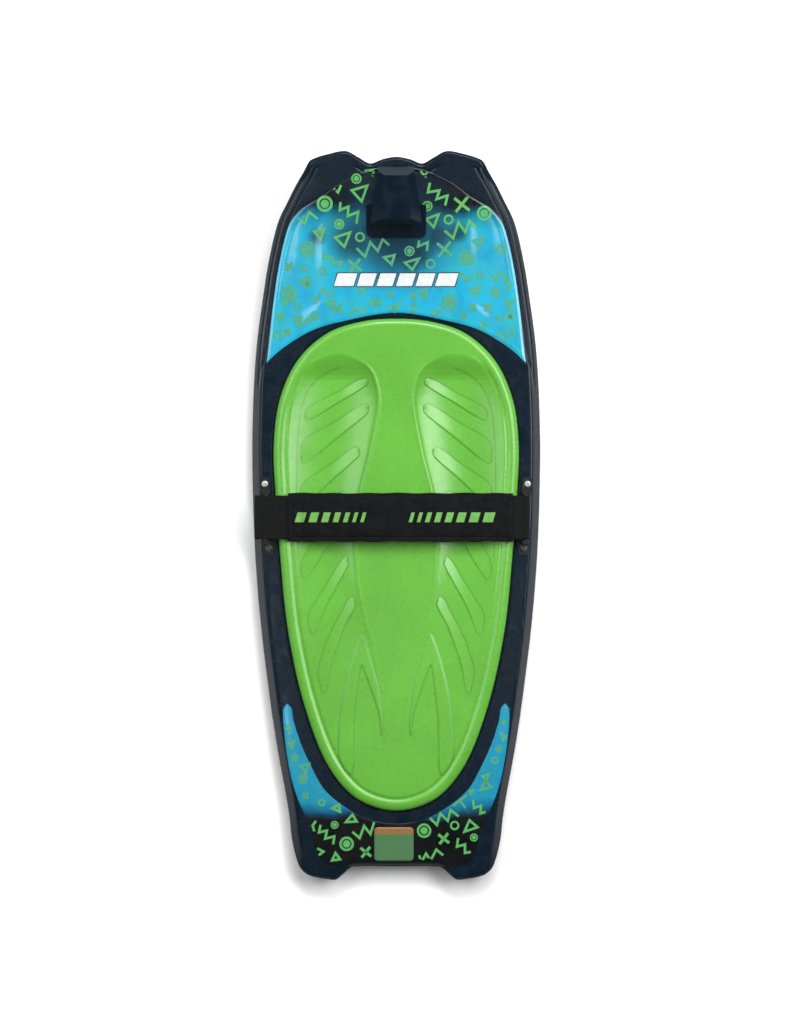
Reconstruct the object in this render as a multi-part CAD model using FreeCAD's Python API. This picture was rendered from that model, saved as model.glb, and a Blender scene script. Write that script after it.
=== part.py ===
"""Kneeboard for towing behind a boat, as the assembly of pieces that it comes apart into. Millimetres.

The board lies deck up. +Y points to the nose, +Z up, and the origin is under the middle of the board on
the plane that its flat belly rests on. The deck and the bottom are flat along the middle and turn up at
the nose in circular arcs, so every piece on the deck is cut from a slab that follows the deck's curve.

The hull is a hollow rotomoulded skin round a foam core. A soft knee pad with two knee wells sits in a
shallow recess. A tow hook stands on the nose. The thigh strap is a long band that is sewn round the bar
of the right bracket, lies over the pad and closes with hook and loop tape on a short anchor loop on the
left bracket's bar. The band runs through a padded sleeve.
"""

import FreeCAD, Part

import math
import os

V = FreeCAD.Vector

# Overall size
LENGTH = 1270.0
HALF_LENGTH = LENGTH / 2
WALL = 4.0
TOUCH = 0.05  # between fixed pieces that would otherwise share a curved face
MOVE_GAP = 0.3  # between pieces of different bodies

# Side profile: flat belly and deck, then arcs
DECK_Z = 48.0
NOSE_BEND_Y = 150.0
TAIL_BEND_Y = -300.0
NOSE_RISE = 70.0
TAIL_RISE = 18.0
NOSE_THICKNESS = 26.0

# Rail section, as shares of the local thickness and as widths
CHINE_WIDTH = 30.0
BEVEL_WIDTH = 14.0
CHINE_TOP = 0.45
BEVEL_FOOT = 0.58
OVERRUN = 12.0  # how far the rail loft runs past the deck and the bottom before it is cut

# Half width of the board along its length, tail to nose
HALF_WIDTHS = [
    (-645, 136), (-628, 150), (-610, 168.5), (-592, 176), (-565, 182.5), (-530, 186.5),
    (-460, 198.5), (-355, 216), (-250, 230), (-146, 241), (-42, 248), (62, 251.8),
    (140, 252.8), (235, 249), (340, 239.5), (445, 223), (515, 205.5), (564, 181),
    (600, 160.3), (621.5, 147), (645, 133),
]
NOSE_CUT = [(0, 624.6), (45.3, 613), (87, 635), (147, 621.5), (300, 587)]
TAIL_CUT = [(300, -600), (150, -627), (104.5, -635), (77.5, -610), (0, -610)]

# Knee pad
PAD_RISE = 14.0
PAD_RECESS = 5.0
PAD_ROUND = 5.0
PAD_OUTLINE = [
    (0, 346), (60, 341), (120, 321), (172, 274), (203, 207), (213.7, 130), (211, 40),
    (203, -65), (189, -199), (160, -330), (119, -434), (76, -486), (35, -506.5), (0, -512),
]
# Knee well stations: y, inner x, outer x, depth
WELL_STATIONS = [
    (280, 88, 118, 1.0), (268, 60, 150, 8.0), (246, 42, 170, 14.0), (215, 34, 182, 16.0),
    (140, 40, 188, 16.0), (60, 60, 187, 13.0), (-30, 72, 182, 9.0), (-140, 70, 170, 5.0),
    (-240, 62, 146, 2.5), (-300, 60, 118, 0.8),
]

# Deck films
FILM_THICKNESS = 0.4
NOSE_FILM_EDGE = [(31, 605), (57, 599), (95, 581), (130, 557), (164, 536), (184, 512)]
NOSE_FILM_SIDE = [(184, 512), (195, 480), (207, 423), (216, 358), (222, 301), (226, 269)]
NOSE_FILM_ARCH = [(226, 269), (210, 285), (183, 305), (143, 327), (94, 341), (0, 356)]
TAIL_FILM_INNER = [
    (0, -535), (44, -529), (85, -509), (125, -476), (151, -430), (167, -394), (180, -352),
    (183.5, -335),
]
TAIL_FILM_TIP = (190.0, -326.0)
TAIL_FILM_OUTER = [
    (196.5, -334), (197.3, -352), (190, -420), (178, -474), (160, -519), (149, -540), (136, -592), (117, -607),
]
TAIL_FILM_END_Y = -607.0
LABEL_SIZE = (68.6, 59.0)
LABEL_CENTRE = (-4.0, -570.5)

# Tow hook, in its own frame on the deck: x across, y towards the nose, z off the deck
HOOK_Y = 545.0
HOOK_FRONT = 64.0
HOOK_TIP = -34.0
HOOK_ROOT = 6.0  # how far it is made to run on below the deck before it is cut to it
HOOK_SLOPE, LIP_SLOPE, LIP_EDGE = 14.0, 13.0, 37.0
HOOK_FRONT_HALF, HOOK_REAR_HALF = 31.0, 45.0
HOOK_TOP_FRONT_HALF, HOOK_TOP_REAR_HALF = 18.0, 27.5
HOOK_TOP_FRONT, HOOK_TOP_REAR = 26.0, 48.0
HOOK_SIDE_FRONT, HOOK_SIDE_REAR = 16.0, 40.0
THROAT_FLOOR, THROAT_RADIUS, THROAT_Y = 4.0, 15.0, -12.0
FOOT_HALF, FOOT_END, FOOT_ROUND = 52.0, -60.0, 12.0

# Strap brackets and their screws
BAR_X = 226.0
BAR_Z = 60.0
BAR_RADIUS = 4.0
BAR_HALF = 40.0
PLATE_THICKNESS = 4.0
PLATE_WIDTH = 18.0
PLATE_ROUND = 5.0
POST_HALF, POST_LENGTH = 6.0, 7.0
PLATE_START, PLATE_END_FRONT, PLATE_END_REAR = 42.0, 70.0, -66.0
SCREW_FRONT = (229.0, 58.0)
SCREW_REAR = (222.5, -54.0)
SCREW_RADIUS, SCREW_LENGTH = 2.95, 18.0
HEAD_RADIUS, HEAD_HEIGHT, HEAD_ROUND = 5.4, 3.4, 1.6
WASHER_RADIUS, WASHER_THICKNESS = 7.0, 1.2
PLATE_HOLE_RADIUS = 3.3
INSERT_RADIUS, INSERT_BORE, INSERT_LENGTH = 5.0, 3.05, 18.0
BOSS_RADIUS, BOSS_DEPTH = 9.0, 22.0

# Strap
BAND_HALF = 38.0
WEBBING = 2.3
TAPE = 1.0
ANCHOR_TOP = BAR_Z + BAR_RADIUS + TOUCH + WEBBING
BAND_MID_LEFT = ANCHOR_TOP + TAPE + MOVE_GAP + TAPE + WEBBING / 2
BAND_MID_RIGHT = BAR_Z + BAR_RADIUS + MOVE_GAP + WEBBING / 2
TAB_END, TAB_HINGE, TAB_ROUND = -246.0, -200.0, 3.0
ANCHOR_START, ANCHOR_END = -238.0, -197.0
BAND_LINE = [
    (TAB_HINGE + MOVE_GAP / 2, BAND_MID_LEFT), (-180, 70.6), (-120, 77), (-60, 83), (0, 85.5),
    (60, 84), (120, 79), (175, 73.2), (203, 70.8), (216, 68.4), (BAR_X + 1, BAND_MID_RIGHT),
]
SLEEVE_START, SLEEVE_END, SLEEVE_HALF = -188.0, 203.0, 42.3
SLEEVE_ROOM = 2.2  # half the height of the slot that the band runs in
SLEEVE_TOP_WALL, SLEEVE_WALL, SLEEVE_SIDE = 1.6, 1.0, 2.6
SLEEVE_FOAM, FOAM_GAP = 2.3, 0.2

# Plugs in the bottom, and moulded fins
PLUG_X, PLUG_Y = 42.0, -545.0
PLUG_RADIUS, PLUG_FLANGE, PLUG_FLANGE_THICKNESS, GASKET = 11.0, 15.0, 2.0, 1.0
FIN_X = (-120.0, 0.0, 120.0)
FIN_START, FIN_END, FIN_HALF = -395.0, -590.0, 5.0
FIN_CLEAR = 1.0  # from a fin's edge to the plane that the board rests on

HALF_SLAB = 320.0
TALL = 200.0


def arc_radius(run, rise):
    """Radius of an arc that leaves a level line and climbs by rise over run."""
    return (run**2 + rise**2) / (2 * rise)


NOSE_RUN = HALF_LENGTH - NOSE_BEND_Y
TAIL_RUN = HALF_LENGTH + TAIL_BEND_Y
DECK_RISE = NOSE_RISE + NOSE_THICKNESS - DECK_Z
BELLY_NOSE_R = arc_radius(NOSE_RUN, NOSE_RISE)
BELLY_TAIL_R = arc_radius(TAIL_RUN, TAIL_RISE)
DECK_R = arc_radius(NOSE_RUN, DECK_RISE)


def on_arc(y, bend, radius, level, offset=0.0):
    """Height of an arc that leaves the level at y = bend, moved off by offset."""
    return level + radius - math.sqrt((radius - offset) ** 2 - (y - bend) ** 2)


def deck_z(y, offset=0.0):
    return DECK_Z + offset if y <= NOSE_BEND_Y else on_arc(y, NOSE_BEND_Y, DECK_R, DECK_Z, offset)


def belly_z(y, offset=0.0):
    if y > NOSE_BEND_Y:
        return on_arc(y, NOSE_BEND_Y, BELLY_NOSE_R, 0.0, offset)
    if y < TAIL_BEND_Y:
        return on_arc(y, TAIL_BEND_Y, BELLY_TAIL_R, 0.0, offset)
    return offset


def curve_edges(height, ys, bends):
    """Edges in the YZ plane along a height function: lines and arcs that meet at the bends."""
    stops = [ys[0]] + [b for b in bends if ys[0] < b < ys[1]] + [ys[1]]
    edges = []
    for a, b in zip(stops, stops[1:]):
        start, middle, end = (V(0, y, height(y)) for y in (a, (a + b) / 2, b))
        straight = abs(start.z + end.z - 2 * middle.z) < 1e-6
        curve = Part.LineSegment(start, end) if straight else Part.Arc(start, middle, end)
        edges.append(curve.toShape())
    return edges


def slab(low, high, y0, y1, half=HALF_SLAB):
    """Solid between two height functions of y, across the board."""
    bends = (TAIL_BEND_Y, NOSE_BEND_Y)
    under, over = curve_edges(low, (y0, y1), bends), curve_edges(high, (y0, y1), bends)
    ends = [Part.makeLine(V(0, y, low(y)), V(0, y, high(y))) for y in (y0, y1)]
    face = Part.Face(Part.Wire(Part.__sortEdges__(under + over + ends)))
    face.translate(V(-half, 0, 0))
    return face.extrude(V(2 * half, 0, 0))


def deck_slab(low, high, y0=-HALF_LENGTH - 20, y1=HALF_LENGTH + 20, half=HALF_SLAB):
    return slab(lambda y: deck_z(y, low), lambda y: deck_z(y, high), y0, y1, half)


def hull_slab(inset=0.0):
    ends = HALF_LENGTH + 20
    return slab(lambda y: belly_z(y, inset), lambda y: deck_z(y, -inset), -ends, ends)


def polygon(points):
    """Closed wire through (x, y) points, in the XY plane."""
    corners = [V(x, y, 0) for x, y in points]
    return Part.makePolygon(corners + corners[:1])


def mirrored(points):
    """Outline of both sides from the right side's points, front to back or back to front."""
    other = [(-x, y) for x, y in reversed(points) if x > 0]
    return points + other


def prism(wire, z0=-20.0, z1=TALL):
    """Upright solid over a closed wire in the XY plane."""
    face = Part.Face(wire)
    face.translate(V(0, 0, z0 - wire.BoundBox.ZMin))
    return face.extrude(V(0, 0, z1 - z0))


def spline(points, ends=None):
    """Smooth edge through (x, y) points, with end directions if they are given."""
    curve = Part.BSplineCurve()
    at = [V(x, y, 0) for x, y in points]
    if ends:
        curve.interpolate(Points=at, InitialTangent=V(*ends[0], 0), FinalTangent=V(*ends[1], 0))
    else:
        curve.interpolate(Points=at)
    return curve.toShape()


def mirror_x(shape):
    return shape.mirror(V(0, 0, 0), V(1, 0, 0))


def both_sides(edges):
    """Closed wire from the right side's edges and their mirror image."""
    return Part.Wire(Part.__sortEdges__(edges + [mirror_x(e) for e in edges]))


def box(x0, x1, y0, y1, z0, z1):
    return Part.makeBox(x1 - x0, y1 - y0, z1 - z0, V(x0, y0, z0))


def rod(radius, start, end):
    axis = end - start
    return Part.makeCylinder(radius, axis.Length, start, axis)


def standing_edges(shape, test):
    """Upright edges of a block whose middles pass the test."""
    return [e for e in shape.Edges if e.BoundBox.ZLength > 1 and test(e.BoundBox.Center)]


def rail_section(y, half, inset):
    """Cross-section of the rails at y: chine, narrow upright side and bevel, run past deck and bottom."""
    low, high = belly_z(y, inset), deck_z(y, -inset)
    thickness = high - low
    half -= inset
    foot, top = low + CHINE_TOP * thickness, low + BEVEL_FOOT * thickness
    chine_run = CHINE_WIDTH * OVERRUN / (foot - low)
    bevel_run = BEVEL_WIDTH * OVERRUN / (high - top)
    side = [
        (half - CHINE_WIDTH - chine_run, low - OVERRUN),
        (half, foot),
        (half, top),
        (half - BEVEL_WIDTH - bevel_run, high + OVERRUN),
    ]
    corners = [V(x, y, z) for x, z in side] + [V(-x, y, z) for x, z in reversed(side)]
    return Part.makePolygon(corners + corners[:1])


def hull_form(inset=0.0):
    """The board's outer form, or the same form moved in by inset."""
    rails = Part.makeLoft([rail_section(y, w, inset) for y, w in HALF_WIDTHS], True, False)
    form = rails.common(hull_slab(inset))
    cut = [(x, y - inset) for x, y in NOSE_CUT] + [(x, y + inset) for x, y in TAIL_CUT]
    return form.common(prism(polygon(mirrored(cut))))


def closed_curve(points):
    curve = Part.BSplineCurve()
    curve.interpolate(Points=[V(x, y, 0) for x, y in points], PeriodicFlag=True)
    return curve


def pad_wire(grow=0.0):
    """The knee pad's outline as two joined edges, moved outward by grow."""
    points = mirrored(PAD_OUTLINE)
    curve = closed_curve(points)
    if grow:
        along = [curve.tangent(curve.parameter(V(x, y, 0)))[0] for x, y in points]
        curve = closed_curve([(x - t.y * grow, y + t.x * grow) for (x, y), t in zip(points, along)])
    first, last = curve.FirstParameter, curve.LastParameter
    middle = (first + last) / 2
    return Part.Wire([curve.toShape(first, middle), curve.toShape(middle, last)])


def pad_seat(depth, grow):
    """What the pad's recess takes out of the hull, down to depth under the deck."""
    return prism(pad_wire(grow)).common(deck_slab(-depth, TALL / 2))


def fins():
    """Three shallow moulded fins under the tail, which end above the plane that the board rests on."""
    profile = [
        V(0, FIN_START, belly_z(FIN_START) + 2),
        V(0, FIN_START - 60, FIN_CLEAR),
        V(0, FIN_END + 25, FIN_CLEAR),
        V(0, FIN_END, belly_z(FIN_END) + 2),
    ]
    blade = Part.Face(Part.makePolygon(profile + profile[:1]))
    shapes = []
    for x in FIN_X:
        fin = blade.copy()
        fin.translate(V(x - FIN_HALF, 0, 0))
        shapes.append(fin.extrude(V(2 * FIN_HALF, 0, 0)))
    return shapes


def side_places(side):
    """(x, y) of one bracket's screws."""
    return [(side * x, y) for x, y in (SCREW_FRONT, SCREW_REAR)]


def screw_places():
    return side_places(-1) + side_places(1)


def bosses(radius, depth):
    return [rod(radius, V(x, y, DECK_Z - 0.5), V(x, y, DECK_Z - depth)) for x, y in screw_places()]


def plug_frame(shape, x):
    """Moves a plug piece, made with +Z out of the bottom, to its place in the bottom."""
    angle = math.degrees(math.asin((TAIL_BEND_Y - PLUG_Y) / BELLY_TAIL_R))
    shape.rotate(V(0, 0, 0), V(1, 0, 0), 180 - angle)
    shape.translate(V(x, PLUG_Y, belly_z(PLUG_Y)))
    return shape


def plug_holes(radius):
    return [plug_frame(rod(radius, V(0, 0, -WALL * 3), V(0, 0, 10)), x) for x in (-PLUG_X, PLUG_X)]


def hull_cavity(extra=0.0):
    """The hollow inside the skin. extra moves it in further, for the foam core's clearance."""
    cavity = hull_form(WALL + extra)
    cavity = cavity.cut(pad_seat(PAD_RECESS + WALL + extra, WALL + extra))
    return cavity.cut(Part.makeCompound(bosses(BOSS_RADIUS + extra, BOSS_DEPTH + extra)))


def hull_shell():
    body = hull_form().fuse(fins())
    body = body.cut(hull_cavity())
    body = body.cut(pad_seat(PAD_RECESS, 0.6))
    holes = [
        rod(INSERT_RADIUS + TOUCH, V(x, y, DECK_Z + 5), V(x, y, DECK_Z - INSERT_LENGTH - TOUCH))
        for x, y in screw_places()
    ]
    return body.cut(Part.makeCompound(holes + plug_holes(PLUG_RADIUS + TOUCH)))


def foam_core():
    core = hull_cavity(TOUCH)
    return core.cut(Part.makeCompound(plug_holes(PLUG_RADIUS + 1)))


def knee_wells():
    """Two scooped tools, deep behind the nose end of the pad and running out towards the tail."""
    sections = []
    for y, inner, outer, depth in WELL_STATIONS:
        top = deck_z(y, PAD_RISE)
        middle = (inner + outer) / 2
        bottom = Part.Arc(V(inner, y, top), V(middle, y, top - depth), V(outer, y, top)).toShape()
        rise = V(0, 0, 10)
        corners = [V(outer, y, top), V(outer, y, top) + rise, V(inner, y, top) + rise, V(inner, y, top)]
        sections.append(Part.Wire([bottom] + [Part.makeLine(a, b) for a, b in zip(corners, corners[1:])]))
    well = Part.makeLoft(sections, True, False)
    return [well, mirror_x(well)]


def knee_pad():
    pad = prism(pad_wire()).common(deck_slab(-PAD_RECESS + TOUCH, PAD_RISE))
    top_edges = [e for e in pad.Edges if e.BoundBox.ZMin > DECK_Z + PAD_RISE - 1]
    rim = [e for e in top_edges if not isinstance(e.Curve, Part.Line)]
    pad = pad.makeFillet(PAD_ROUND, rim)
    return pad.cut(knee_wells())


def nose_graphic():
    edges = [
        Part.makeLine(V(0, 606, 0), V(*NOSE_FILM_EDGE[0], 0)),
        spline(NOSE_FILM_EDGE),
        spline(NOSE_FILM_SIDE),
        spline(NOSE_FILM_ARCH, ends=((-1, 1), (-1, 0))),
    ]
    film = prism(both_sides(edges)).common(deck_slab(0, FILM_THICKNESS))
    return film.cut(hook_outline_prism())


def tail_graphic():
    tip_start, tip_end = TAIL_FILM_INNER[-1], TAIL_FILM_OUTER[0]
    tip = Part.Arc(V(*tip_start, 0), V(*TAIL_FILM_TIP, 0), V(*tip_end, 0)).toShape()
    last = TAIL_FILM_OUTER[-1]
    edges = [
        spline(TAIL_FILM_INNER, ends=((1, 0), (0.25, 1))),
        tip,
        spline(TAIL_FILM_OUTER),
        Part.makeLine(V(*last, 0), V(0, TAIL_FILM_END_Y, 0)),
    ]
    return prism(both_sides(edges)).common(deck_slab(0, FILM_THICKNESS))


def blank_label():
    (width, depth), (x, y) = LABEL_SIZE, LABEL_CENTRE
    low = DECK_Z + FILM_THICKNESS
    return box(x - width / 2, x + width / 2, y - depth / 2, y + depth / 2, low, low + FILM_THICKNESS)


def hook_frame(shape):
    """Moves a piece from the hook's own frame onto the deck."""
    shape.rotate(V(0, 0, 0), V(1, 0, 0), math.degrees(math.asin((HOOK_Y - NOSE_BEND_Y) / DECK_R)))
    shape.translate(V(0, HOOK_Y, deck_z(HOOK_Y)))
    return shape


def hook_foot(grow=0.0):
    """Flat foot under the hook's throat, with rounded rear corners."""
    half, end = FOOT_HALF + grow, FOOT_END - grow
    foot = box(-half, half, end, THROAT_Y + 10, -HOOK_ROOT, THROAT_FLOOR)
    return foot.makeFillet(FOOT_ROUND, standing_edges(foot, lambda c: c.y < end + 1))


def hook_body(grow=0.0):
    """Wedge with bevelled sides, from its narrow front to its wide lip."""

    def section(y, half, side, top_half, top):
        right = [(half, -HOOK_ROOT), (half, side), (top_half, top)]
        corners = [V(x, y, z) for x, z in right] + [V(-x, y, z) for x, z in reversed(right)]
        return Part.makePolygon(corners + corners[:1])

    front = section(
        HOOK_FRONT + grow, HOOK_FRONT_HALF + grow, HOOK_SIDE_FRONT, HOOK_TOP_FRONT_HALF, HOOK_TOP_FRONT
    )
    rear = section(HOOK_TIP, HOOK_REAR_HALF + grow, HOOK_SIDE_REAR, HOOK_TOP_REAR_HALF, HOOK_TOP_REAR)
    return Part.makeLoft([front, rear], True, True)


def hook_outline_prism():
    """Room for the hook and its foot in the nose film."""
    tall = hook_frame(hook_body(0.4).fuse(hook_foot(0.4)))
    return tall.common(deck_slab(-3, 3, half=FOOT_HALF + 5))


def across(outline, half=80):
    """Solid across the hook over a closed (y, z) outline."""
    corners = [V(-half, y, z) for y, z in outline]
    return Part.Face(Part.makePolygon(corners + corners[:1])).extrude(V(2 * half, 0, 0))


def tow_hook():
    """Hook that a tow handle's bar drops behind. Its throat opens towards the rider."""
    top = THROAT_FLOOR + 2 * THROAT_RADIUS
    middle = THROAT_FLOOR + THROAT_RADIUS
    far = 90.0
    round_end = rod(THROAT_RADIUS, V(-far, THROAT_Y, middle), V(far, THROAT_Y, middle))
    throat = round_end.fuse(box(-far, far, -far, THROAT_Y, THROAT_FLOOR, top))
    slope_top = HOOK_FRONT - HOOK_SLOPE
    slope = [(slope_top, far), (slope_top, HOOK_TOP_FRONT + 3), (HOOK_FRONT + 1, THROAT_FLOOR), (far, 0)]
    front_slope = across(slope + [(far, far)])
    lip_rise = HOOK_TOP_REAR - LIP_EDGE
    lip_low = (HOOK_TIP - LIP_SLOPE, LIP_EDGE - lip_rise)
    lip_high = (HOOK_TIP + 3 * LIP_SLOPE, LIP_EDGE + 3 * lip_rise)
    lip_slope = across([lip_low, lip_high, (-far, lip_high[1]), (-far, lip_low[1])])
    hook = hook_body().cut([throat, front_slope, lip_slope]).fuse(hook_foot())
    below_deck = slab(lambda y: deck_z(y, -60), deck_z, HOOK_Y - far, HALF_LENGTH + 20)
    return hook_frame(hook).cut(below_deck)


def end_plate(place, start, end):
    """Screw plate at one end of a bracket, with the post that carries the bar."""
    low, high = sorted((start, end))
    x, y = place
    plate = box(x - PLATE_WIDTH / 2, x + PLATE_WIDTH / 2, low, high, DECK_Z, DECK_Z + PLATE_THICKNESS)
    plate = plate.makeFillet(PLATE_ROUND, standing_edges(plate, lambda c: abs(c.y - end) < 1))
    near, far = sorted((math.copysign(BAR_HALF, start), math.copysign(BAR_HALF + POST_LENGTH, start)))
    post = box(BAR_X - POST_HALF, BAR_X + POST_HALF, near, far, DECK_Z, BAR_Z + BAR_RADIUS)
    hole = rod(PLATE_HOLE_RADIUS, V(x, y, DECK_Z - 1), V(x, y, DECK_Z + 10))
    return plate.fuse(post).cut(hole)


def strap_bracket(side):
    """Two screw plates joined by a raised round bar that the webbing turns round."""
    bar = rod(BAR_RADIUS, V(BAR_X, -BAR_HALF - 1, BAR_Z), V(BAR_X, BAR_HALF + 1, BAR_Z))
    front = end_plate(SCREW_FRONT, PLATE_START, PLATE_END_FRONT)
    rear = end_plate(SCREW_REAR, -PLATE_START, PLATE_END_REAR)
    bracket = bar.fuse([front, rear]).removeSplitter()
    return bracket if side > 0 else mirror_x(bracket)


def bracket_screws(side):
    """Pan-head screws with a cross recess."""
    seat = DECK_Z + PLATE_THICKNESS + WASHER_THICKNESS
    top = seat + HEAD_HEIGHT
    shapes = []
    for x, y in side_places(side):
        head = rod(HEAD_RADIUS, V(x, y, seat), V(x, y, top))
        head = head.makeFillet(HEAD_ROUND, [e for e in head.Edges if e.BoundBox.ZMin > top - 0.1])
        shank = rod(SCREW_RADIUS, V(x, y, seat - SCREW_LENGTH), V(x, y, seat + 0.5))
        slots = [
            box(x - half_x, x + half_x, y - half_y, y + half_y, top - 1.6, top + 1)
            for half_x, half_y in ((2.6, 0.5), (0.5, 2.6))
        ]
        shapes.append(head.fuse(shank).cut(slots))
    return Part.makeCompound(shapes)


def bracket_washers(side):
    seat = DECK_Z + PLATE_THICKNESS
    shapes = []
    for x, y in side_places(side):
        disc = rod(WASHER_RADIUS, V(x, y, seat), V(x, y, seat + WASHER_THICKNESS))
        shapes.append(disc.cut(rod(PLATE_HOLE_RADIUS, V(x, y, seat - 1), V(x, y, seat + 5))))
    return Part.makeCompound(shapes)


def threaded_inserts(side):
    """Blind metal inserts that are moulded into the hull's bosses."""
    shapes = []
    for x, y in side_places(side):
        body = rod(INSERT_RADIUS, V(x, y, DECK_Z - INSERT_LENGTH), V(x, y, DECK_Z))
        shapes.append(body.cut(rod(INSERT_BORE, V(x, y, DECK_Z - INSERT_LENGTH + 2), V(x, y, DECK_Z + 1))))
    return Part.makeCompound(shapes)


def strap_strip(line, low, high, half):
    """Strip of constant width over an (x, z) line, between two offsets from that line."""

    def offset_edge(by):
        curve = Part.BSplineCurve()
        curve.interpolate(Points=[V(x, -half, z + by) for x, z in line])
        return curve.toShape()

    under, over = offset_edge(low), offset_edge(high)
    ends = [Part.makeLine(V(x, -half, z + low), V(x, -half, z + high)) for x, z in (line[0], line[-1])]
    face = Part.Face(Part.Wire(Part.__sortEdges__([under, over] + ends)))
    return face.extrude(V(0, 2 * half, 0))


def band_height(x):
    """Height of the band's middle at x."""
    curve = Part.BSplineCurve()
    curve.interpolate(Points=[V(a, 0, z) for a, z in BAND_LINE])
    return curve.intersectCC(Part.LineSegment(V(x, 0, 0), V(x, 0, TALL)))[0].Z


def band_part(x0, x1):
    """The band's middle line from x0 to x1, with enough points to follow it."""
    steps = 14
    return [(x, band_height(x)) for x in (x0 + (x1 - x0) * i / steps for i in range(steps + 1))]


def bar_loop(x, half, gap):
    """Webbing once round a bracket's bar."""
    inner = BAR_RADIUS + gap
    ring = rod(inner + WEBBING, V(x, -half, BAR_Z), V(x, half, BAR_Z))
    return ring.cut(rod(inner, V(x, -half - 1, BAR_Z), V(x, half + 1, BAR_Z)))


def strap_band():
    """Long webbing, sewn round the right bar and running to the pull tab's fold."""
    half_web = WEBBING / 2
    band = strap_strip(BAND_LINE, -half_web, half_web, BAND_HALF)
    room = rod(BAR_RADIUS + MOVE_GAP, V(BAR_X, -50, BAR_Z), V(BAR_X, 50, BAR_Z))
    return band.fuse(bar_loop(BAR_X, BAND_HALF, MOVE_GAP)).cut(room)


def anchor_loop():
    """Short webbing loop round the left bar, with a flat top for the loop tape."""
    flat = box(ANCHOR_START, ANCHOR_END, -BAND_HALF, BAND_HALF, ANCHOR_TOP - WEBBING, ANCHOR_TOP)
    return flat.fuse(bar_loop(-BAR_X, BAND_HALF, TOUCH))


def loop_tape():
    low, high = ANCHOR_TOP, ANCHOR_TOP + TAPE
    return box(ANCHOR_START + 1, ANCHOR_END - 1, -BAND_HALF + 1, BAND_HALF - 1, low, high)


def hook_tape():
    high = BAND_MID_LEFT - WEBBING / 2
    return box(TAB_END + 2, TAB_HINGE - 3, -BAND_HALF + 1, BAND_HALF - 1, high - TAPE, high)


def pull_tab():
    low = BAND_MID_LEFT - WEBBING / 2
    tab = box(TAB_END, TAB_HINGE - MOVE_GAP / 2, -BAND_HALF, BAND_HALF, low, low + WEBBING)
    return tab.makeFillet(TAB_ROUND, standing_edges(tab, lambda c: c.x < TAB_END + 1))


def sleeve_cover():
    """Sewn tube round the band and the foam, open at both ends."""
    low = -SLEEVE_ROOM - SLEEVE_FOAM - SLEEVE_WALL
    line = band_part(SLEEVE_START, SLEEVE_END)
    tube = strap_strip(line, low, SLEEVE_ROOM + SLEEVE_TOP_WALL, SLEEVE_HALF)
    longer = band_part(SLEEVE_START - 4, SLEEVE_END + 4)
    return tube.cut(strap_strip(longer, low + SLEEVE_WALL, SLEEVE_ROOM, SLEEVE_HALF - SLEEVE_SIDE))


def sleeve_foam():
    low = -SLEEVE_ROOM - SLEEVE_FOAM
    line = band_part(SLEEVE_START + 3, SLEEVE_END - 3)
    return strap_strip(line, low + FOAM_GAP, -SLEEVE_ROOM, SLEEVE_HALF - SLEEVE_SIDE - FOAM_GAP)


def bottom_plug(side):
    stem = rod(PLUG_RADIUS, V(0, 0, -WALL - 1), V(0, 0, GASKET + 0.2))
    flange = rod(PLUG_FLANGE, V(0, 0, GASKET + 2 * TOUCH), V(0, 0, GASKET + PLUG_FLANGE_THICKNESS))
    slot = box(-8, 8, -1, 1, GASKET + 1, GASKET + 5)
    return plug_frame(flange.fuse(stem).cut(slot), side * PLUG_X)


def plug_gaskets():
    shapes = []
    for side in (-1, 1):
        ring = rod(PLUG_FLANGE - 0.5, V(0, 0, TOUCH), V(0, 0, GASKET + TOUCH))
        ring = ring.cut(rod(PLUG_RADIUS + 0.2, V(0, 0, -1), V(0, 0, 5)))
        shapes.append(plug_frame(ring, side * PLUG_X))
    return Part.makeCompound(shapes)


PARTS = {
    "hull_shell": hull_shell,
    "foam_core": foam_core,
    "knee_pad": knee_pad,
    "nose_graphic": nose_graphic,
    "tail_graphic": tail_graphic,
    "blank_label": blank_label,
    "tow_hook": tow_hook,
    "left_strap_bracket": lambda: strap_bracket(-1),
    "right_strap_bracket": lambda: strap_bracket(1),
    "left_bracket_screws": lambda: bracket_screws(-1),
    "right_bracket_screws": lambda: bracket_screws(1),
    "left_bracket_washers": lambda: bracket_washers(-1),
    "right_bracket_washers": lambda: bracket_washers(1),
    "left_threaded_inserts": lambda: threaded_inserts(-1),
    "right_threaded_inserts": lambda: threaded_inserts(1),
    "strap_band": strap_band,
    "anchor_loop": anchor_loop,
    "loop_tape": loop_tape,
    "hook_tape": hook_tape,
    "pull_tab": pull_tab,
    "sleeve_cover": sleeve_cover,
    "sleeve_foam": sleeve_foam,
    "fill_plug": lambda: bottom_plug(-1),
    "vent_plug": lambda: bottom_plug(1),
    "plug_gaskets": plug_gaskets,
}


def main():
    os.makedirs("parts", exist_ok=True)
    for name, make in PARTS.items():
        shape = make()
        solids = shape.Solids
        whole = solids[0] if len(solids) == 1 else Part.makeCompound(solids)
        litres = sum(s.Volume for s in solids) / 1e6
        print(f"{name}: {len(solids)} solid(s), {litres:.4f} L, valid {whole.isValid()}")
        whole.exportStep(f"parts/{name}.step")


main()
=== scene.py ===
"""Looks of the kneeboard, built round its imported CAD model.

Shapes are worked out in millimetres, in the model's own frame: +Y to the nose, +Z up, origin under the
middle of the board. They turn into metres when a mesh is made.
"""

import math

import bmesh
import bpy
import numpy as np
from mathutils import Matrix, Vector
from mathutils.bvhtree import BVHTree
from mathutils.kdtree import KDTree


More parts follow.
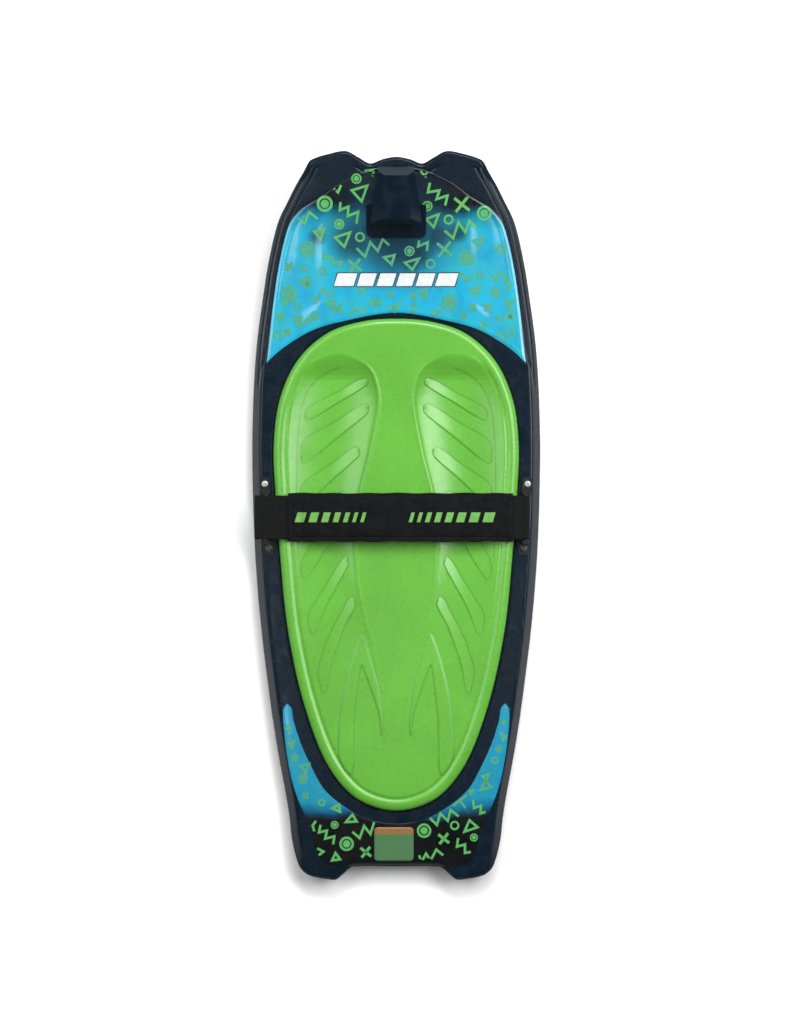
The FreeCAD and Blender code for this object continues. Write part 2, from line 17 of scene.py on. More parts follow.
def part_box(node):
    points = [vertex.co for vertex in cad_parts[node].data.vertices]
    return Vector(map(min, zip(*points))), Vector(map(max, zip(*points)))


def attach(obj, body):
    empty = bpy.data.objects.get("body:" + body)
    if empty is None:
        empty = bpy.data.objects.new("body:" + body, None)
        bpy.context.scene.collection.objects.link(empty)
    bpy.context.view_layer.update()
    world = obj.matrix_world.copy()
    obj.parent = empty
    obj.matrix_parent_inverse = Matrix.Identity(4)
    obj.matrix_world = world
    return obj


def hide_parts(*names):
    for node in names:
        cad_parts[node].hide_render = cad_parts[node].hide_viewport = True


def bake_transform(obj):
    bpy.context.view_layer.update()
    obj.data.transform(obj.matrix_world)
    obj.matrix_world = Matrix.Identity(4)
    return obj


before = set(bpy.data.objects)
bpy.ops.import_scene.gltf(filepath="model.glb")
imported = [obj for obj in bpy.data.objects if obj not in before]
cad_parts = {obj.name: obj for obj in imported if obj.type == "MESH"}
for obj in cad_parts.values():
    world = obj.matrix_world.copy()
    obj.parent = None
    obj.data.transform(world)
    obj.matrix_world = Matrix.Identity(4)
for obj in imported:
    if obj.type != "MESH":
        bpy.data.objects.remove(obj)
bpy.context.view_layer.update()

MM = 0.001

# Side profile: heights from the frame's boxes, and the arcs in which deck and belly turn up
DECK_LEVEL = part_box("left_strap_bracket")[0].z / MM
HALF_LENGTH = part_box("hull_shell")[1].y / MM
NOSE_BEND, TAIL_BEND = 150, -300
NOSE_RISE, TAIL_RISE, NOSE_THICKNESS = 70, 18, 26

# Right half of each outline, from the nose to the tail
BOARD_HALF = [
    (0, 624.6), (24, 620.5), (45.3, 613.4), (66, 624.2), (87, 634.4), (117, 629.6), (141, 622.5),
    (150, 617.5), (160.2, 600.3), (174, 577.6), (188.4, 549.8), (205.4, 515), (222.8, 445.3),
    (234.2, 375.6), (243.7, 306), (249, 236.3), (251.6, 166.7), (252.3, 115), (251.6, 62), (249.8, -7),
    (246.4, -77), (241.1, -147), (234.2, -216), (225.5, -286), (216, -356), (204.6, -425),
    (191.5, -495), (186.3, -530), (182.4, -564.5), (175.8, -592.4), (168.5, -611), (158.4, -622),
    (149, -626.8), (135.8, -630), (120, -632.4), (105.5, -633), (92, -622.8), (78.5, -611.4),
    (66, -609.9), (0, -609.8),
]
# Places on the board's outline, each with the place on the pad's outline that it faces
ACROSS = [
    ((0, 624.6), (0, 346)), ((150, 617.5), (104, 327)), ((205.4, 515), (166, 281)),
    ((234.2, 375.6), (197, 226)), ((252.3, 115), (213, 118)), ((234.2, -216), (187, -214)),
    ((204.6, -425), (136, -400)), ((182.4, -564.5), (85, -478)), ((105.5, -633), (36, -506)),
    ((0, -609.8), (0, -512)),
]
# Places on each outline, with the Y on the middle line that they run in to
BOARD_SPINE = [
    ((0, 624.6), 470), ((205.4, 515), 380), ((252.3, 115), 90), ((234.2, -216), -210),
    ((182.4, -564.5), -440), ((0, -609.8), -480),
]
PAD_SPINE = [
    ((0, 346), 150), ((203, 207), 120), ((211, 40), 30), ((189, -199), -190), ((119, -434), -360),
    ((0, -512), -430),
]
PAD_HALF = [
    (0, 346), (60, 341), (120, 321), (172, 274), (203, 207), (213.7, 130), (211, 40), (203, -65),
    (189, -199), (160, -330), (119, -434), (76, -486), (35, -506.5), (0, -512),
]
NOSE_FILM_TOP = [
    (0, 606), (31, 605), (57, 599), (95, 581), (130, 557), (164, 536), (184, 512), (195, 480),
    (207, 423), (216, 358), (222, 301), (226, 269),
]
NOSE_FILM_ARCH = [(0, 356), (94, 341), (143, 327), (183, 305), (210, 285), (226, 269)]
TAIL_FILM_INNER = [
    (0, -535), (44, -529), (85, -509), (125, -476), (151, -430), (167, -394), (180, -352), (183, -333),
    (190, -325.5),
]
TAIL_FILM_OUTER = [
    (0, -607), (60, -607), (117, -607), (136, -592), (149, -540), (160, -519), (178, -474), (190, -420),
    (197.5, -350), (196.5, -333), (190, -325.5),
]

# ---------------------------------------------------------------- curves


def smoothstep(low, high, value):
    t = np.clip((value - low) / (high - low), 0, 1)
    return t * t * (3 - 2 * t)


def through(points, before=None, after=None, steps=24):
    """Smooth curve through points (centripetal Catmull-Rom)."""
    p = np.array(points, float)
    first = 2 * p[0] - p[1] if before is None else np.array(before, float)
    last = 2 * p[-1] - p[-2] if after is None else np.array(after, float)
    p = np.vstack([first, p, last])
    pieces = []
    for p0, p1, p2, p3 in zip(p, p[1:], p[2:], p[3:]):
        t1 = math.sqrt(np.linalg.norm(p1 - p0))
        t2 = t1 + math.sqrt(np.linalg.norm(p2 - p1))
        t3 = t2 + math.sqrt(np.linalg.norm(p3 - p2))
        t = np.linspace(t1, t2, steps, endpoint=False)[:, None]
        a1 = (t1 - t) / t1 * p0 + t / t1 * p1
        a2 = (t2 - t) / (t2 - t1) * p1 + (t - t1) / (t2 - t1) * p2
        a3 = (t3 - t) / (t3 - t2) * p2 + (t - t2) / (t3 - t2) * p3
        b1 = (t2 - t) / t2 * a1 + t / t2 * a2
        b2 = (t3 - t) / (t3 - t1) * a2 + (t - t1) / (t3 - t1) * a3
        pieces.append((t2 - t) / (t2 - t1) * b1 + (t - t1) / (t2 - t1) * b2)
    return np.vstack(pieces + [p[-2:-1]])


def half_curve(points):
    """Smooth half outline whose ends on the centre line are square to it."""
    (x0, y0), (x1, y1) = points[1], points[-2]
    return through(points, before=(-x0, y0), after=(-x1, y1))


def closed_curve(points):
    return through(points + points[:1], before=points[-1], after=points[1])[:-1]


def run_of(curve):
    """Distance along a curve at each of its points."""
    return np.r_[0, np.cumsum(np.linalg.norm(np.diff(curve, axis=0), axis=1))]


def at_run(curve, distance):
    run = run_of(curve)
    return np.stack([np.interp(distance, run, axis) for axis in curve.T], axis=1)


def evenly(curve, count):
    return at_run(curve, np.linspace(0, run_of(curve)[-1], count))


def nearest_run(curve, point):
    return run_of(curve)[np.argmin(np.linalg.norm(curve - np.array(point), axis=1))]


def between_places(curve, runs, places):
    """Values at distances along a curve, from those known at some (x, y) places on it."""
    known = [nearest_run(curve, place) for place, _ in places]
    return np.interp(runs, known, [value for _, value in places])


def both_halves(half):
    """Closed loop from a right half: down the right side and back up the left."""
    left = half[-2:0:-1] * (-1, *([1] * (half.shape[1] - 1)))
    return np.vstack([half, left])


def outward_of(loop):
    """Unit normals of a loop that runs clockwise as seen from above."""
    along = np.roll(loop, -1, 0) - np.roll(loop, 1, 0)
    along /= np.linalg.norm(along, axis=1)[:, None] + 1e-12
    return np.c_[-along[:, 1], along[:, 0]]


def softened(normals, reach):
    """Normals averaged over their neighbours, so that spokes don't cross at a corner."""
    total = sum(np.roll(normals, k, 0) for k in range(-reach, reach + 1))
    return total / np.linalg.norm(total, axis=1)[:, None]


class Border:
    """Closed outline that tells how far inside it a point lies."""

    SPACING = 0.7  # between the points that distances are taken from

    def __init__(self, loop):
        ring = np.vstack([loop, loop[:1]])
        self.loop = evenly(ring, int(run_of(ring)[-1] / self.SPACING))[:-1]
        if self.turns_left():
            self.loop = self.loop[::-1]
        self.outward = outward_of(self.loop)
        self.tree = KDTree(len(self.loop))
        for i, (x, y) in enumerate(self.loop):
            self.tree.insert((x, y, 0), i)
        self.tree.balance()

    def turns_left(self):
        x, y = self.loop.T
        return np.sum(x * np.roll(y, -1) - np.roll(x, -1) * y) > 0

    def depth(self, x, y, reach=1e9):
        """Distance inside the outline, negative outside. Beyond reach of its box, it is just -reach."""
        low, high = self.loop.min(0) - reach, self.loop.max(0) + reach
        near = (x > low[0]) & (x < high[0]) & (y > low[1]) & (y < high[1])
        result = np.full(len(x), -reach, float)
        spots = np.c_[x, y][near]
        index = np.array([self.tree.find((a, b, 0))[1] for a, b in spots], int)
        if len(index):
            result[near] = -np.einsum("ij,ij->i", spots - self.loop[index], self.outward[index])
        return result


def arc_rise(run, rise, along):
    """Height over the tangent line of an arc that reaches rise after run."""
    radius = (run**2 + rise**2) / (2 * rise)
    return radius - np.sqrt(radius**2 - np.clip(along, 0, None) ** 2)


def deck(y):
    rise = NOSE_RISE + NOSE_THICKNESS - DECK_LEVEL
    return DECK_LEVEL + arc_rise(HALF_LENGTH - NOSE_BEND, rise, y - NOSE_BEND)


def belly(y):
    nose = arc_rise(HALF_LENGTH - NOSE_BEND, NOSE_RISE, y - NOSE_BEND)
    return nose + arc_rise(HALF_LENGTH + TAIL_BEND, TAIL_RISE, TAIL_BEND - y)


# ---------------------------------------------------------------- meshes


def shade_smooth(mesh):
    mesh.polygons.foreach_set("use_smooth", [True] * len(mesh.polygons))


def make_piece(name, points, faces, body, smooth=True):
    """Mesh from millimetre points. It rides on a body, if one is named."""
    mesh = bpy.data.meshes.new(name)
    mesh.from_pydata((np.asarray(points) * MM).tolist(), [], faces)
    piece = bpy.data.objects.new(name, mesh)
    bpy.context.scene.collection.objects.link(piece)
    if smooth:
        shade_smooth(mesh)
    mesh.update()
    if body:
        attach(piece, body)
    return piece


def points_of(mesh):
    """A mesh's points, in millimetres."""
    return np.array([vertex.co for vertex in mesh.vertices]) / MM


def move_points(mesh, points):
    mesh.vertices.foreach_set("co", (points * MM).ravel())
    mesh.update()


def grid_faces(rows, columns, wrap, start=0):
    """Quads between rows of points. With wrap, each row is a ring."""
    index = np.arange(rows * columns).reshape(rows, columns) + start
    right = np.roll(index, -1, 1)
    if not wrap:
        index, right = index[:, :-1], right[:, :-1]
    quads = np.stack([index[:-1], right[:-1], right[1:], index[1:]], axis=-1)
    return quads.reshape(-1, 4).tolist()


def tube_faces(rings, count, start=0):
    """Faces of a tube of rings of count points each, with a flat face at both ends."""
    last = start + (rings - 1) * count
    ends = [list(range(start, start + count)), list(range(last + count - 1, last - 1, -1))]
    return grid_faces(rings, count, True, start) + ends


def edit(piece, change):
    """Opens a piece's mesh for change to work on, and writes it back."""
    work = bmesh.new()
    work.from_mesh(piece.data)
    change(work)
    work.to_mesh(piece.data)
    work.free()


def turn_outward(work):
    bmesh.ops.recalc_face_normals(work, faces=work.faces)


def weld(piece, distance=0.02):
    """Joins points that coincide, and turns every face outward."""

    def join_points(work):
        bmesh.ops.remove_doubles(work, verts=work.verts, dist=distance * MM)
        bmesh.ops.dissolve_degenerate(work, edges=work.edges, dist=1e-7)
        turn_outward(work)

    edit(piece, join_points)
    shade_smooth(piece.data)
    return piece


def loft(name, rings, body):
    """Closed piece from rings of equal counts, whose first and last rings close on themselves."""
    points = np.vstack(rings)
    piece = make_piece(name, points, grid_faces(len(rings), len(rings[0]), True), body)
    return weld(piece)


def slab_faces(rows, columns, first):
    """Faces of a thin closed slab: an upper grid of points, then a lower one, and the rim between them."""
    count = rows * columns
    index = np.arange(count).reshape(rows, columns) + first
    rim = [*index[0], *index[1:, -1], *index[-1, -2::-1], *index[-2:0:-1, 0]]
    faces = grid_faces(rows, columns, False, first) + grid_faces(rows, columns, False, first + count)
    return faces + [[i, j, j + count, i + count] for i, j in zip(rim, rim[1:] + rim[:1])]


def crease(piece, degrees):
    """Marks edges sharper than an angle, so that smooth shading stops at them."""

    def mark_edges(work):
        for edge in work.edges:
            edge.smooth = edge.calc_face_angle(0.0) < math.radians(degrees)

    edit(piece, mark_edges)


def add_modifier(piece, kind, **values):
    modifier = piece.modifiers.new(kind.title(), kind)
    for name, value in values.items():
        setattr(modifier, name, value)
    return modifier


def sweep(name, path, section, body, wave=0.0):
    """Strip along an (x, z) path. The section is a loop of (y, offset along the path's upward normal)."""
    along = np.gradient(path, axis=0)
    along /= np.linalg.norm(along, axis=1)[:, None]
    up = np.c_[-along[:, 1], along[:, 0]]
    y, rise = section.T
    rings = []
    for i, ((x, z), (up_x, up_z)) in enumerate(zip(path, up)):
        shift = wave * (math.sin(i * 0.9) * 0.6 + math.sin(i * 0.37 + 1.3))
        rings.append(np.c_[x + up_x * rise, y + shift * np.sign(y), z + up_z * rise])
    faces = tube_faces(len(rings), len(section))
    return weld(make_piece(name, np.vstack(rings), faces, body))


def flat_section(half, low, high, edge, columns, centre=0.0, power=0.0, bead=0.0):
    """Loop across a flat strip with rounded edges.

    power above 0 crowns it like a cushion, and bead thickens it along its edges.
    """
    bead_width, side_share = 2.2, 0.4
    y = np.linspace(-1, 1, columns)
    swell = (1 - np.abs(y) ** power) if power else np.ones(columns)
    swell = swell + bead * np.exp(-(((1 - np.abs(y)) * half / bead_width) ** 2))
    middle = (low + high) / 2
    rise, fall = (high - middle) * swell, (low - middle) * swell
    top = np.c_[centre + y * (half - edge), middle + rise]
    bottom = np.c_[centre + y * (half - edge), middle + fall][::-1]
    right = [(centre + half, middle + step[-1] * side_share) for step in (rise, fall)]
    left = [(centre - half, middle + step[0] * side_share) for step in (fall, rise)]
    return np.vstack([top, right, bottom, left])


# ---------------------------------------------------------------- materials


class Look:
    """A material under construction. Its textures are placed by the model's own coordinates, in metres."""

    def __init__(self, name, roughness=0.5, metallic=0.0, specular=0.5, **sockets):
        self.material = bpy.data.materials.new(name)
        self.material.use_nodes = True
        self.tree = self.material.node_tree
        self.shader = self.tree.nodes["Principled BSDF"]
        self.coordinates = self.add("ShaderNodeTexCoord").outputs["Object"]
        self.set("Roughness", roughness)
        self.set("Metallic", metallic)
        self.set("Specular IOR Level", specular)
        for key, value in sockets.items():
            self.set(key.replace("_", " "), value)

    def add(self, kind, **settings):
        node = self.tree.nodes.new(kind)
        for key, value in settings.items():
            setattr(node, key, value)
        return node

    def join(self, source, target):
        if isinstance(source, (int, float, tuple)):
            target.default_value = source
        else:
            self.tree.links.new(source, target)

    def set(self, socket, value):
        self.join(value, self.shader.inputs[socket])

    def math(self, operation, a, b):
        node = self.add("ShaderNodeMath", operation=operation)
        self.join(a, node.inputs[0])
        self.join(b, node.inputs[1])
        return node.outputs[0]

    def plus(self, a, b):
        return self.math("ADD", a, b)

    def times(self, a, b):
        return self.math("MULTIPLY", a, b)

    def axes(self):
        split = self.add("ShaderNodeSeparateXYZ")
        self.join(self.coordinates, split.inputs[0])
        return split.outputs[0], split.outputs[1], split.outputs[2]

    def stretched(self, scale=(1, 1, 1), turn=(0, 0, 0)):
        node = self.add("ShaderNodeMapping")
        self.join(self.coordinates, node.inputs["Vector"])
        node.inputs["Scale"].default_value = scale
        node.inputs["Rotation"].default_value = turn
        return node.outputs[0]

    def noise(self, size, detail=3.0, vector=None, roughness=0.5, distortion=0.0):
        """Noise whose blotches are about size millimetres across, from 0 to 1."""
        node = self.add("ShaderNodeTexNoise")
        self.join(vector or self.coordinates, node.inputs["Vector"])
        node.inputs["Scale"].default_value = 1 / (size * MM)
        node.inputs["Detail"].default_value = detail
        node.inputs["Roughness"].default_value = roughness
        node.inputs["Distortion"].default_value = distortion
        return node.outputs["Fac"]

    def cells(self, size):
        """Distance to the middle of cells about size millimetres across."""
        node = self.add("ShaderNodeTexVoronoi")
        self.join(self.coordinates, node.inputs["Vector"])
        node.inputs["Scale"].default_value = 1 / (size * MM)
        return node.outputs["Distance"]

    def ramp(self, value, stops):
        """Colour along 0 to 1, from (position, colour) stops."""
        node = self.add("ShaderNodeValToRGB")
        self.join(value, node.inputs[0])
        elements = node.color_ramp.elements
        while len(elements) < len(stops):
            elements.new(0.5)
        for element, (position, colour) in zip(elements, stops):
            element.position = position
            element.color = (*colour, 1)
        return node.outputs[0]

    def spread(self, value, low, high, to_low=0.0, to_high=1.0):
        node = self.add("ShaderNodeMapRange")
        self.join(value, node.inputs["Value"])
        limits = {"From Min": low, "From Max": high, "To Min": to_low, "To Max": to_high}
        for key, number in limits.items():
            node.inputs[key].default_value = number
        return node.outputs[0]

    def rough(self, size, detail, low, high):
        """Roughness that drifts between two values in blotches about size millimetres across."""
        self.set("Roughness", self.spread(self.noise(size, detail), 0.3, 0.7, low, high))

    def mix(self, share, a, b):
        node = self.add("ShaderNodeMix", data_type="RGBA")
        self.join(share, node.inputs[0])
        for colour, socket in ((a, node.inputs[6]), (b, node.inputs[7])):
            self.join((*colour, 1) if isinstance(colour, tuple) else colour, socket)
        return node.outputs[2]

    def bump(self, *layers):
        """Bumps from (height, depth in millimetres) layers."""
        normal = None
        for height, depth in layers:
            node = self.add("ShaderNodeBump")
            self.join(height, node.inputs["Height"])
            node.inputs["Distance"].default_value = depth * MM
            node.inputs["Strength"].default_value = 1.0
            if normal:
                self.join(normal, node.inputs["Normal"])
            normal = node.outputs[0]
        self.set("Normal", normal)

    def bands(self, direction, pitch, vector, distortion=0.0):
        """Height of rows of threads that are pitch millimetres apart."""
        node = self.add("ShaderNodeTexWave", wave_type="BANDS", bands_direction=direction)
        self.join(vector, node.inputs["Vector"])
        node.inputs["Scale"].default_value = 2 * math.pi / (20 * pitch * MM)
        node.inputs["Distortion"].default_value = distortion
        return node.outputs["Fac"]

    def weave(self, pitch, turn):
        """Crossings and height of a plain weave, whose two rows of threads are pitch millimetres apart."""
        angles = (turn, turn + math.pi / 2)
        a, b = (self.bands("X", pitch, self.stretched(turn=(0, 0, angle)), 0.4) for angle in angles)
        return self.times(a, b), self.math("MAXIMUM", a, b)


def tint(colour, factor):
    return tuple(c * factor for c in colour)


def tint_stops(stops, *factors):
    """Colour stops with each channel multiplied by its own factor."""
    return [(position, tuple(c * f for c, f in zip(colour, factors))) for position, colour in stops]


def moulded_plastic(name, colour, roughness=0.34, grain=0.9, grain_depth=0.014, specular=0.4):
    look = Look(name, specular=specular)
    look.set("Base Color", look.mix(look.noise(60, 4), tint(colour, 0.9), tint(colour, 1.15)))
    scuff_lines = look.noise(9, 5, look.stretched((1, 0.12, 1), (0, 0, 0.5)), 0.7)
    scuffs = look.times(look.spread(scuff_lines, 0.55, 0.75), 0.03)
    drift = look.spread(look.noise(25, 3), 0.3, 0.7, roughness - 0.07, roughness + 0.07)
    look.set("Roughness", look.plus(drift, scuffs))
    look.bump((look.noise(grain, 2), grain_depth), (look.noise(14, 2), 0.06))
    return look.material


def pad_foam(name="pad_foam", shade=1.0):
    look = Look(name)
    light, dark = tint((0.104, 0.372, 0.034), shade), tint((0.088, 0.322, 0.028), shade)
    base = look.mix(look.spread(look.noise(90, 4), 0.3, 0.7), dark, light)
    speck = look.times(look.spread(look.noise(1.6, 3), 0.35, 0.75), 0.05)
    look.set("Base Color", look.mix(speck, base, (0.17, 0.50, 0.07)))
    look.rough(12, 4, 0.25, 0.32)
    look.bump((look.noise(1.8, 2), 0.006), (look.noise(30, 2), 0.05))
    return look.material


def blot(look, colour, smudge, x, y, radius):
    """Lays a dark blot with a cloudy edge over a colour, round a place on the deck."""
    away = look.add("ShaderNodeVectorMath", operation="DISTANCE")
    look.join(look.coordinates, away.inputs[0])
    away.inputs[1].default_value = (x * MM, y * MM, float(deck(np.array(y))) * MM)
    reach = look.plus(away.outputs["Value"], look.times(smudge, 0.5 * radius * MM))
    amount = look.spread(reach, radius * 0.6 * MM, radius * 1.5 * MM, 0.85, 0.0)
    return look.mix(amount, colour, (0.0025, 0.024, 0.048))


def film(name, stops, y_low, y_high, blots=()):
    """Glossy printed film: soft cloudy bands of colour along the board, with darker blots."""
    look = Look(name, specular=0.35, Coat_Weight=0.4, Coat_Roughness=0.06)
    _, y, _ = look.axes()
    cloud = look.math("SUBTRACT", look.noise(75, 4, roughness=0.55, distortion=0.5), 0.5)
    share = look.spread(look.plus(y, look.times(cloud, 0.05)), y_low * MM, y_high * MM)
    plain = look.ramp(share, stops)
    greener = look.ramp(share, tint_stops(stops, 1.4, 1.0, 0.76))
    deeper = look.ramp(share, tint_stops(stops, 0.35, 0.55, 0.75))
    patch = look.noise(42, 3, look.stretched((1, 0.6, 1)))
    colour = look.mix(look.spread(patch, 0.42, 0.64, 0.0, 0.8), plain, greener)
    smudge = look.noise(26, 4, look.stretched((1, 0.55, 1)), 0.6)
    colour = look.mix(look.spread(smudge, 0.45, 0.8, 0.0, 0.7), colour, deeper)
    for spot in blots:
        colour = blot(look, colour, smudge, *spot)
    look.set("Base Color", colour)
    look.rough(45, 4, 0.16, 0.28)
    look.bump((look.noise(14, 3), 0.03), (look.noise(0.8, 2), 0.006))
    return look.material


def printed(name, colour, roughness=0.35):
    """Ink on film or fabric, a little uneven."""
    look = Look(name, specular=0.45)
    look.set("Base Color", look.mix(look.noise(6, 5), tint(colour, 0.72), tint(colour, 1.15)))
    look.rough(4, 3, roughness, roughness + 0.15)
    look.bump((look.noise(0.9, 2), 0.02))
    return look.material


def cloth_look(name, colour, pitch, turn, depth, sheen):
    """Woven cloth, paler where its threads cross and where it is worn."""
    look = Look(name, specular=0.1, Sheen_Weight=sheen, Sheen_Roughness=0.45)
    crossing, threads = look.weave(pitch, turn)
    worn = look.mix(look.spread(look.noise(28, 5), 0.4, 0.7), colour, tint(colour, 1.8))
    look.set("Base Color", look.mix(look.times(crossing, 0.55), worn, tint(colour, 1.8 * 1.7)))
    look.rough(10, 4, 0.68, 0.88)
    look.bump((threads, depth), (look.noise(0.35, 3), 0.04), (look.noise(18, 3), 0.25))
    return look.material


def webbing_look():
    """Heavy webbing: fine ribs along the strap, crossed by a slight herringbone."""
    look = Look("webbing", specular=0.08, Sheen_Weight=0.02, Sheen_Roughness=0.4)
    rib = look.bands("Y", 1.9, look.coordinates)
    slant = look.bands("DIAGONAL", 1.3, look.stretched((1, 0.5, 0)))
    height = look.plus(look.times(rib, 0.6), look.times(slant, 0.4))
    hollow, crest = (0.0022, 0.0022, 0.0024), (0.0098, 0.0102, 0.011)
    look.set("Base Color", look.mix(look.spread(height, 0.2, 0.9), hollow, crest))
    look.rough(8, 4, 0.55, 0.8)
    look.bump((height, 0.3), (look.noise(0.4, 3), 0.05))
    return look.material


def metal_look(name, colour, roughness, painted_shadow_colour=None):
    """Brushed metal. A second colour, if given, is painted on the pieces behind the strap (y below 0) as
    the strap's painted shadow on them.
    """
    look = Look(name, metallic=1.0)
    finish_and_shadow = look.mix(look.noise(3, 4), tint(colour, 0.8), colour)
    # Painted shadow: behind the strap (y below 0), where the strap's shadow falls, the metal takes the
    # darker second colour.
    if painted_shadow_colour:
        _, y, _ = look.axes()
        finish_and_shadow = look.mix(look.math("LESS_THAN", y, 0.0), finish_and_shadow, painted_shadow_colour)
    look.set("Base Color", finish_and_shadow)
    brushed = look.noise(0.9, 4, look.stretched((1, 8, 1)))
    look.set("Roughness", look.spread(brushed, 0.3, 0.7, roughness - 0.07, roughness + 0.1))
    look.bump((brushed, 0.015))
    return look.material


def tape_look(name, colour, size):
    """Fuzzy hook or loop tape, with tufts about size millimetres across."""
    look = Look(name, specular=0.3, Sheen_Weight=0.5, Sheen_Roughness=0.6)
    fuzz = look.cells(size)
    look.set("Base Color", look.mix(look.spread(fuzz, 0.0, 0.7), tint(colour, 2.6), colour))
    look.rough(5, 3, 0.75, 0.95)
    look.bump((fuzz, -0.6), (look.noise(0.4, 3), 0.1))
    return look.material


def cell_foam(name, colour, size):
    """Raw foam with open cells about size millimetres across."""
    look = Look(name, specular=0.2)
    cells = look.cells(size)
    shade = look.spread(cells, 0.1, 0.8)
    look.set("Base Color", look.mix(shade, tint(colour, 1.1), tint(colour, 0.72)))
    look.rough(6, 3, 0.8, 0.97)
    look.bump((cells, -0.5), (look.noise(0.6, 2), 0.1))
    return look.material


NAVY = (0.0012, 0.0072, 0.0150)
BLACK_PRINT = (0.0022, 0.0032, 0.0042)
NOSE_COLOURS = [
    (0.0, (0.016, 0.35, 0.56)), (0.17, (0.014, 0.34, 0.50)), (0.31, (0.010, 0.34, 0.53)),
    (0.48, (0.012, 0.33, 0.48)), (0.64, (0.010, 0.31, 0.46)), (0.70, (0.006, 0.20, 0.31)),
    (0.745, (0.002, 0.04, 0.07)), (0.77, BLACK_PRINT),
]
NOSE_BLOTS = [  # x, y, radius
    (0, 508, 104), (0, 476, 62), (36, 458, 28), (-138, 488, 16), (108, 494, 18), (-82, 482, 36),
    (72, 488, 30),
]
TAIL_COLOURS = [
    (0.0, BLACK_PRINT), (0.285, BLACK_PRINT), (0.315, (0.003, 0.03, 0.06)), (0.35, (0.004, 0.12, 0.25)),
    (0.41, (0.008, 0.23, 0.37)), (1.0, (0.010, 0.25, 0.41)),
]

hull_plastic = moulded_plastic("hull_plastic", NAVY, 0.25, specular=0.27)
hook_plastic = moulded_plastic("hook_plastic", tint(NAVY, 0.85), 0.24, 1.3, specular=0.15)
bracket_plastic = moulded_plastic("bracket_plastic", (0.0030, 0.0030, 0.0034), 0.38, 0.7, 0.02)
plug_plastic = moulded_plastic("plug_plastic", (0.012, 0.013, 0.015), 0.45, 0.8)
gasket_rubber = moulded_plastic("gasket_rubber", (0.02, 0.02, 0.02), 0.7, 0.6)
foam_green = pad_foam()
# Darker copy of the pad foam for the fine lines: painted shade in place of the shadow in the pad's moulded
# grooves.
shaded_line_foam = pad_foam("pad_foam_lines_painted_shade", 0.66)
nose_print = film("nose_film", NOSE_COLOURS, 270, 625, NOSE_BLOTS)
tail_print = film("tail_film", TAIL_COLOURS, -607, -325)
bright_ink = printed("bright_ink", (0.078, 0.34, 0.080))
muted_ink = printed("muted_ink", (0.060, 0.29, 0.135))
dark_ink = printed("dark_ink", (0.006, 0.010, 0.014))
white_ink = printed("white_ink", (0.62, 0.64, 0.64))
strap_ink = printed("strap_ink", (0.115, 0.34, 0.060), 0.55)
label_print = printed("label_green", (0.058, 0.160, 0.062), 0.3)
band_print = printed("label_orange", (0.240, 0.115, 0.035), 0.3)
webbing = webbing_look()
sleeve_fabric = cloth_look("sleeve_fabric", (0.0026, 0.0030, 0.0033), 0.9, 0.4, 0.16, 0.02)
binding = cloth_look("hem_binding", (0.0030, 0.0034, 0.0037), 0.6, 0.0, 0.1, 0.03)
thread = cloth_look("thread", (0.010, 0.012, 0.011), 0.4, 0.7, 0.05, 0.05)
# The darker second colour is the strap's painted shadow on the screws behind the strap.
steel = metal_look("steel", (0.66, 0.66, 0.64), 0.34, (0.10, 0.10, 0.105))
dark_steel = metal_look("dark_steel", (0.09, 0.09, 0.095), 0.35)
brass = metal_look("brass", (0.65, 0.45, 0.17), 0.32)
hooks = tape_look("hook_tape", (0.006, 0.006, 0.007), 1.1)
loops = tape_look("loop_tape", (0.008, 0.008, 0.009), 0.7)
core_foam = cell_foam("core_foam", (0.72, 0.62, 0.40), 1.4)
strap_foam = cell_foam("strap_foam", (0.10, 0.10, 0.11), 0.8)


def paint(piece, *materials):
    piece.data.materials.clear()
    for material in materials:
        piece.data.materials.append(material)
    return piece


# ---------------------------------------------------------------- deck and belly


SIDE_TOP, SIDE_FOOT, END_FOOT = 0.58, 0.45, 0.22  # upright side, as shares of the thickness
BEVEL, END_BEVEL, END_DROP = 14.0, 4.5, 4.0
CHINE, END_CHINE = 30.0, 8.0
NOSE_PLATEAU, NOSE_ROLL = 1.1, 0.5
TAIL_PLATEAU, TAIL_ROLL = 0.2, 0.0
CROWN, CROWN_X, CROWN_WIDTH = 2.2, 122.0, 40.0
GROOVE, GROOVE_DEPTH, GROOVE_WIDTH = 8.5, 1.6, 1.5  # the first one's distance from the outline
INNER_GROOVE_SHIFT, INNER_GROOVE_DEPTH, INNER_GROOVE_WIDTH = 8.5, 1.8, 1.7
PAD_EDGE_DIP = 0.9
FLOOR_DEPTH = 5.3  # of the recess that the pad lies in
RAIL_BAND, LEDGE_BAND = 24, 9  # widths that get closer rings, at the rail and by the pad
HALF_POINTS = 431  # on half an outline

board_half = half_curve(BOARD_HALF)
pad_half = half_curve(PAD_HALF)
nose_top, nose_arch, tail_inner, tail_outer = (
    through(points, before=(-points[1][0], points[1][1]))
    for points in (NOSE_FILM_TOP, NOSE_FILM_ARCH, TAIL_FILM_INNER, TAIL_FILM_OUTER)
)
board_border = Border(both_halves(board_half))
pad_border = Border(both_halves(pad_half))
nose_border = Border(both_halves(np.vstack([nose_top, nose_arch[-2::-1]])))
tail_border = Border(both_halves(np.vstack([tail_inner, tail_outer[-2::-1]])))


def end_share(y):
    """0 along the sides, 1 where the outline turns across the nose and the tail."""
    return smoothstep(578, 618, np.abs(y))


def rail_drop(inside, y):
    """How far the bevelled rail falls below the deck, with a rounded crest."""
    ends = end_share(y)
    thickness = deck(y) - belly(y)
    width = BEVEL + (END_BEVEL - BEVEL) * ends
    drop = (1 - SIDE_TOP) * thickness * (1 - ends) + END_DROP * ends
    share = 1 - inside / width
    return drop * 0.5 * (share + np.sqrt(share**2 + 0.02))


def ridge(distance, centre, width):
    return np.exp(-(((distance - centre) / width) ** 2))


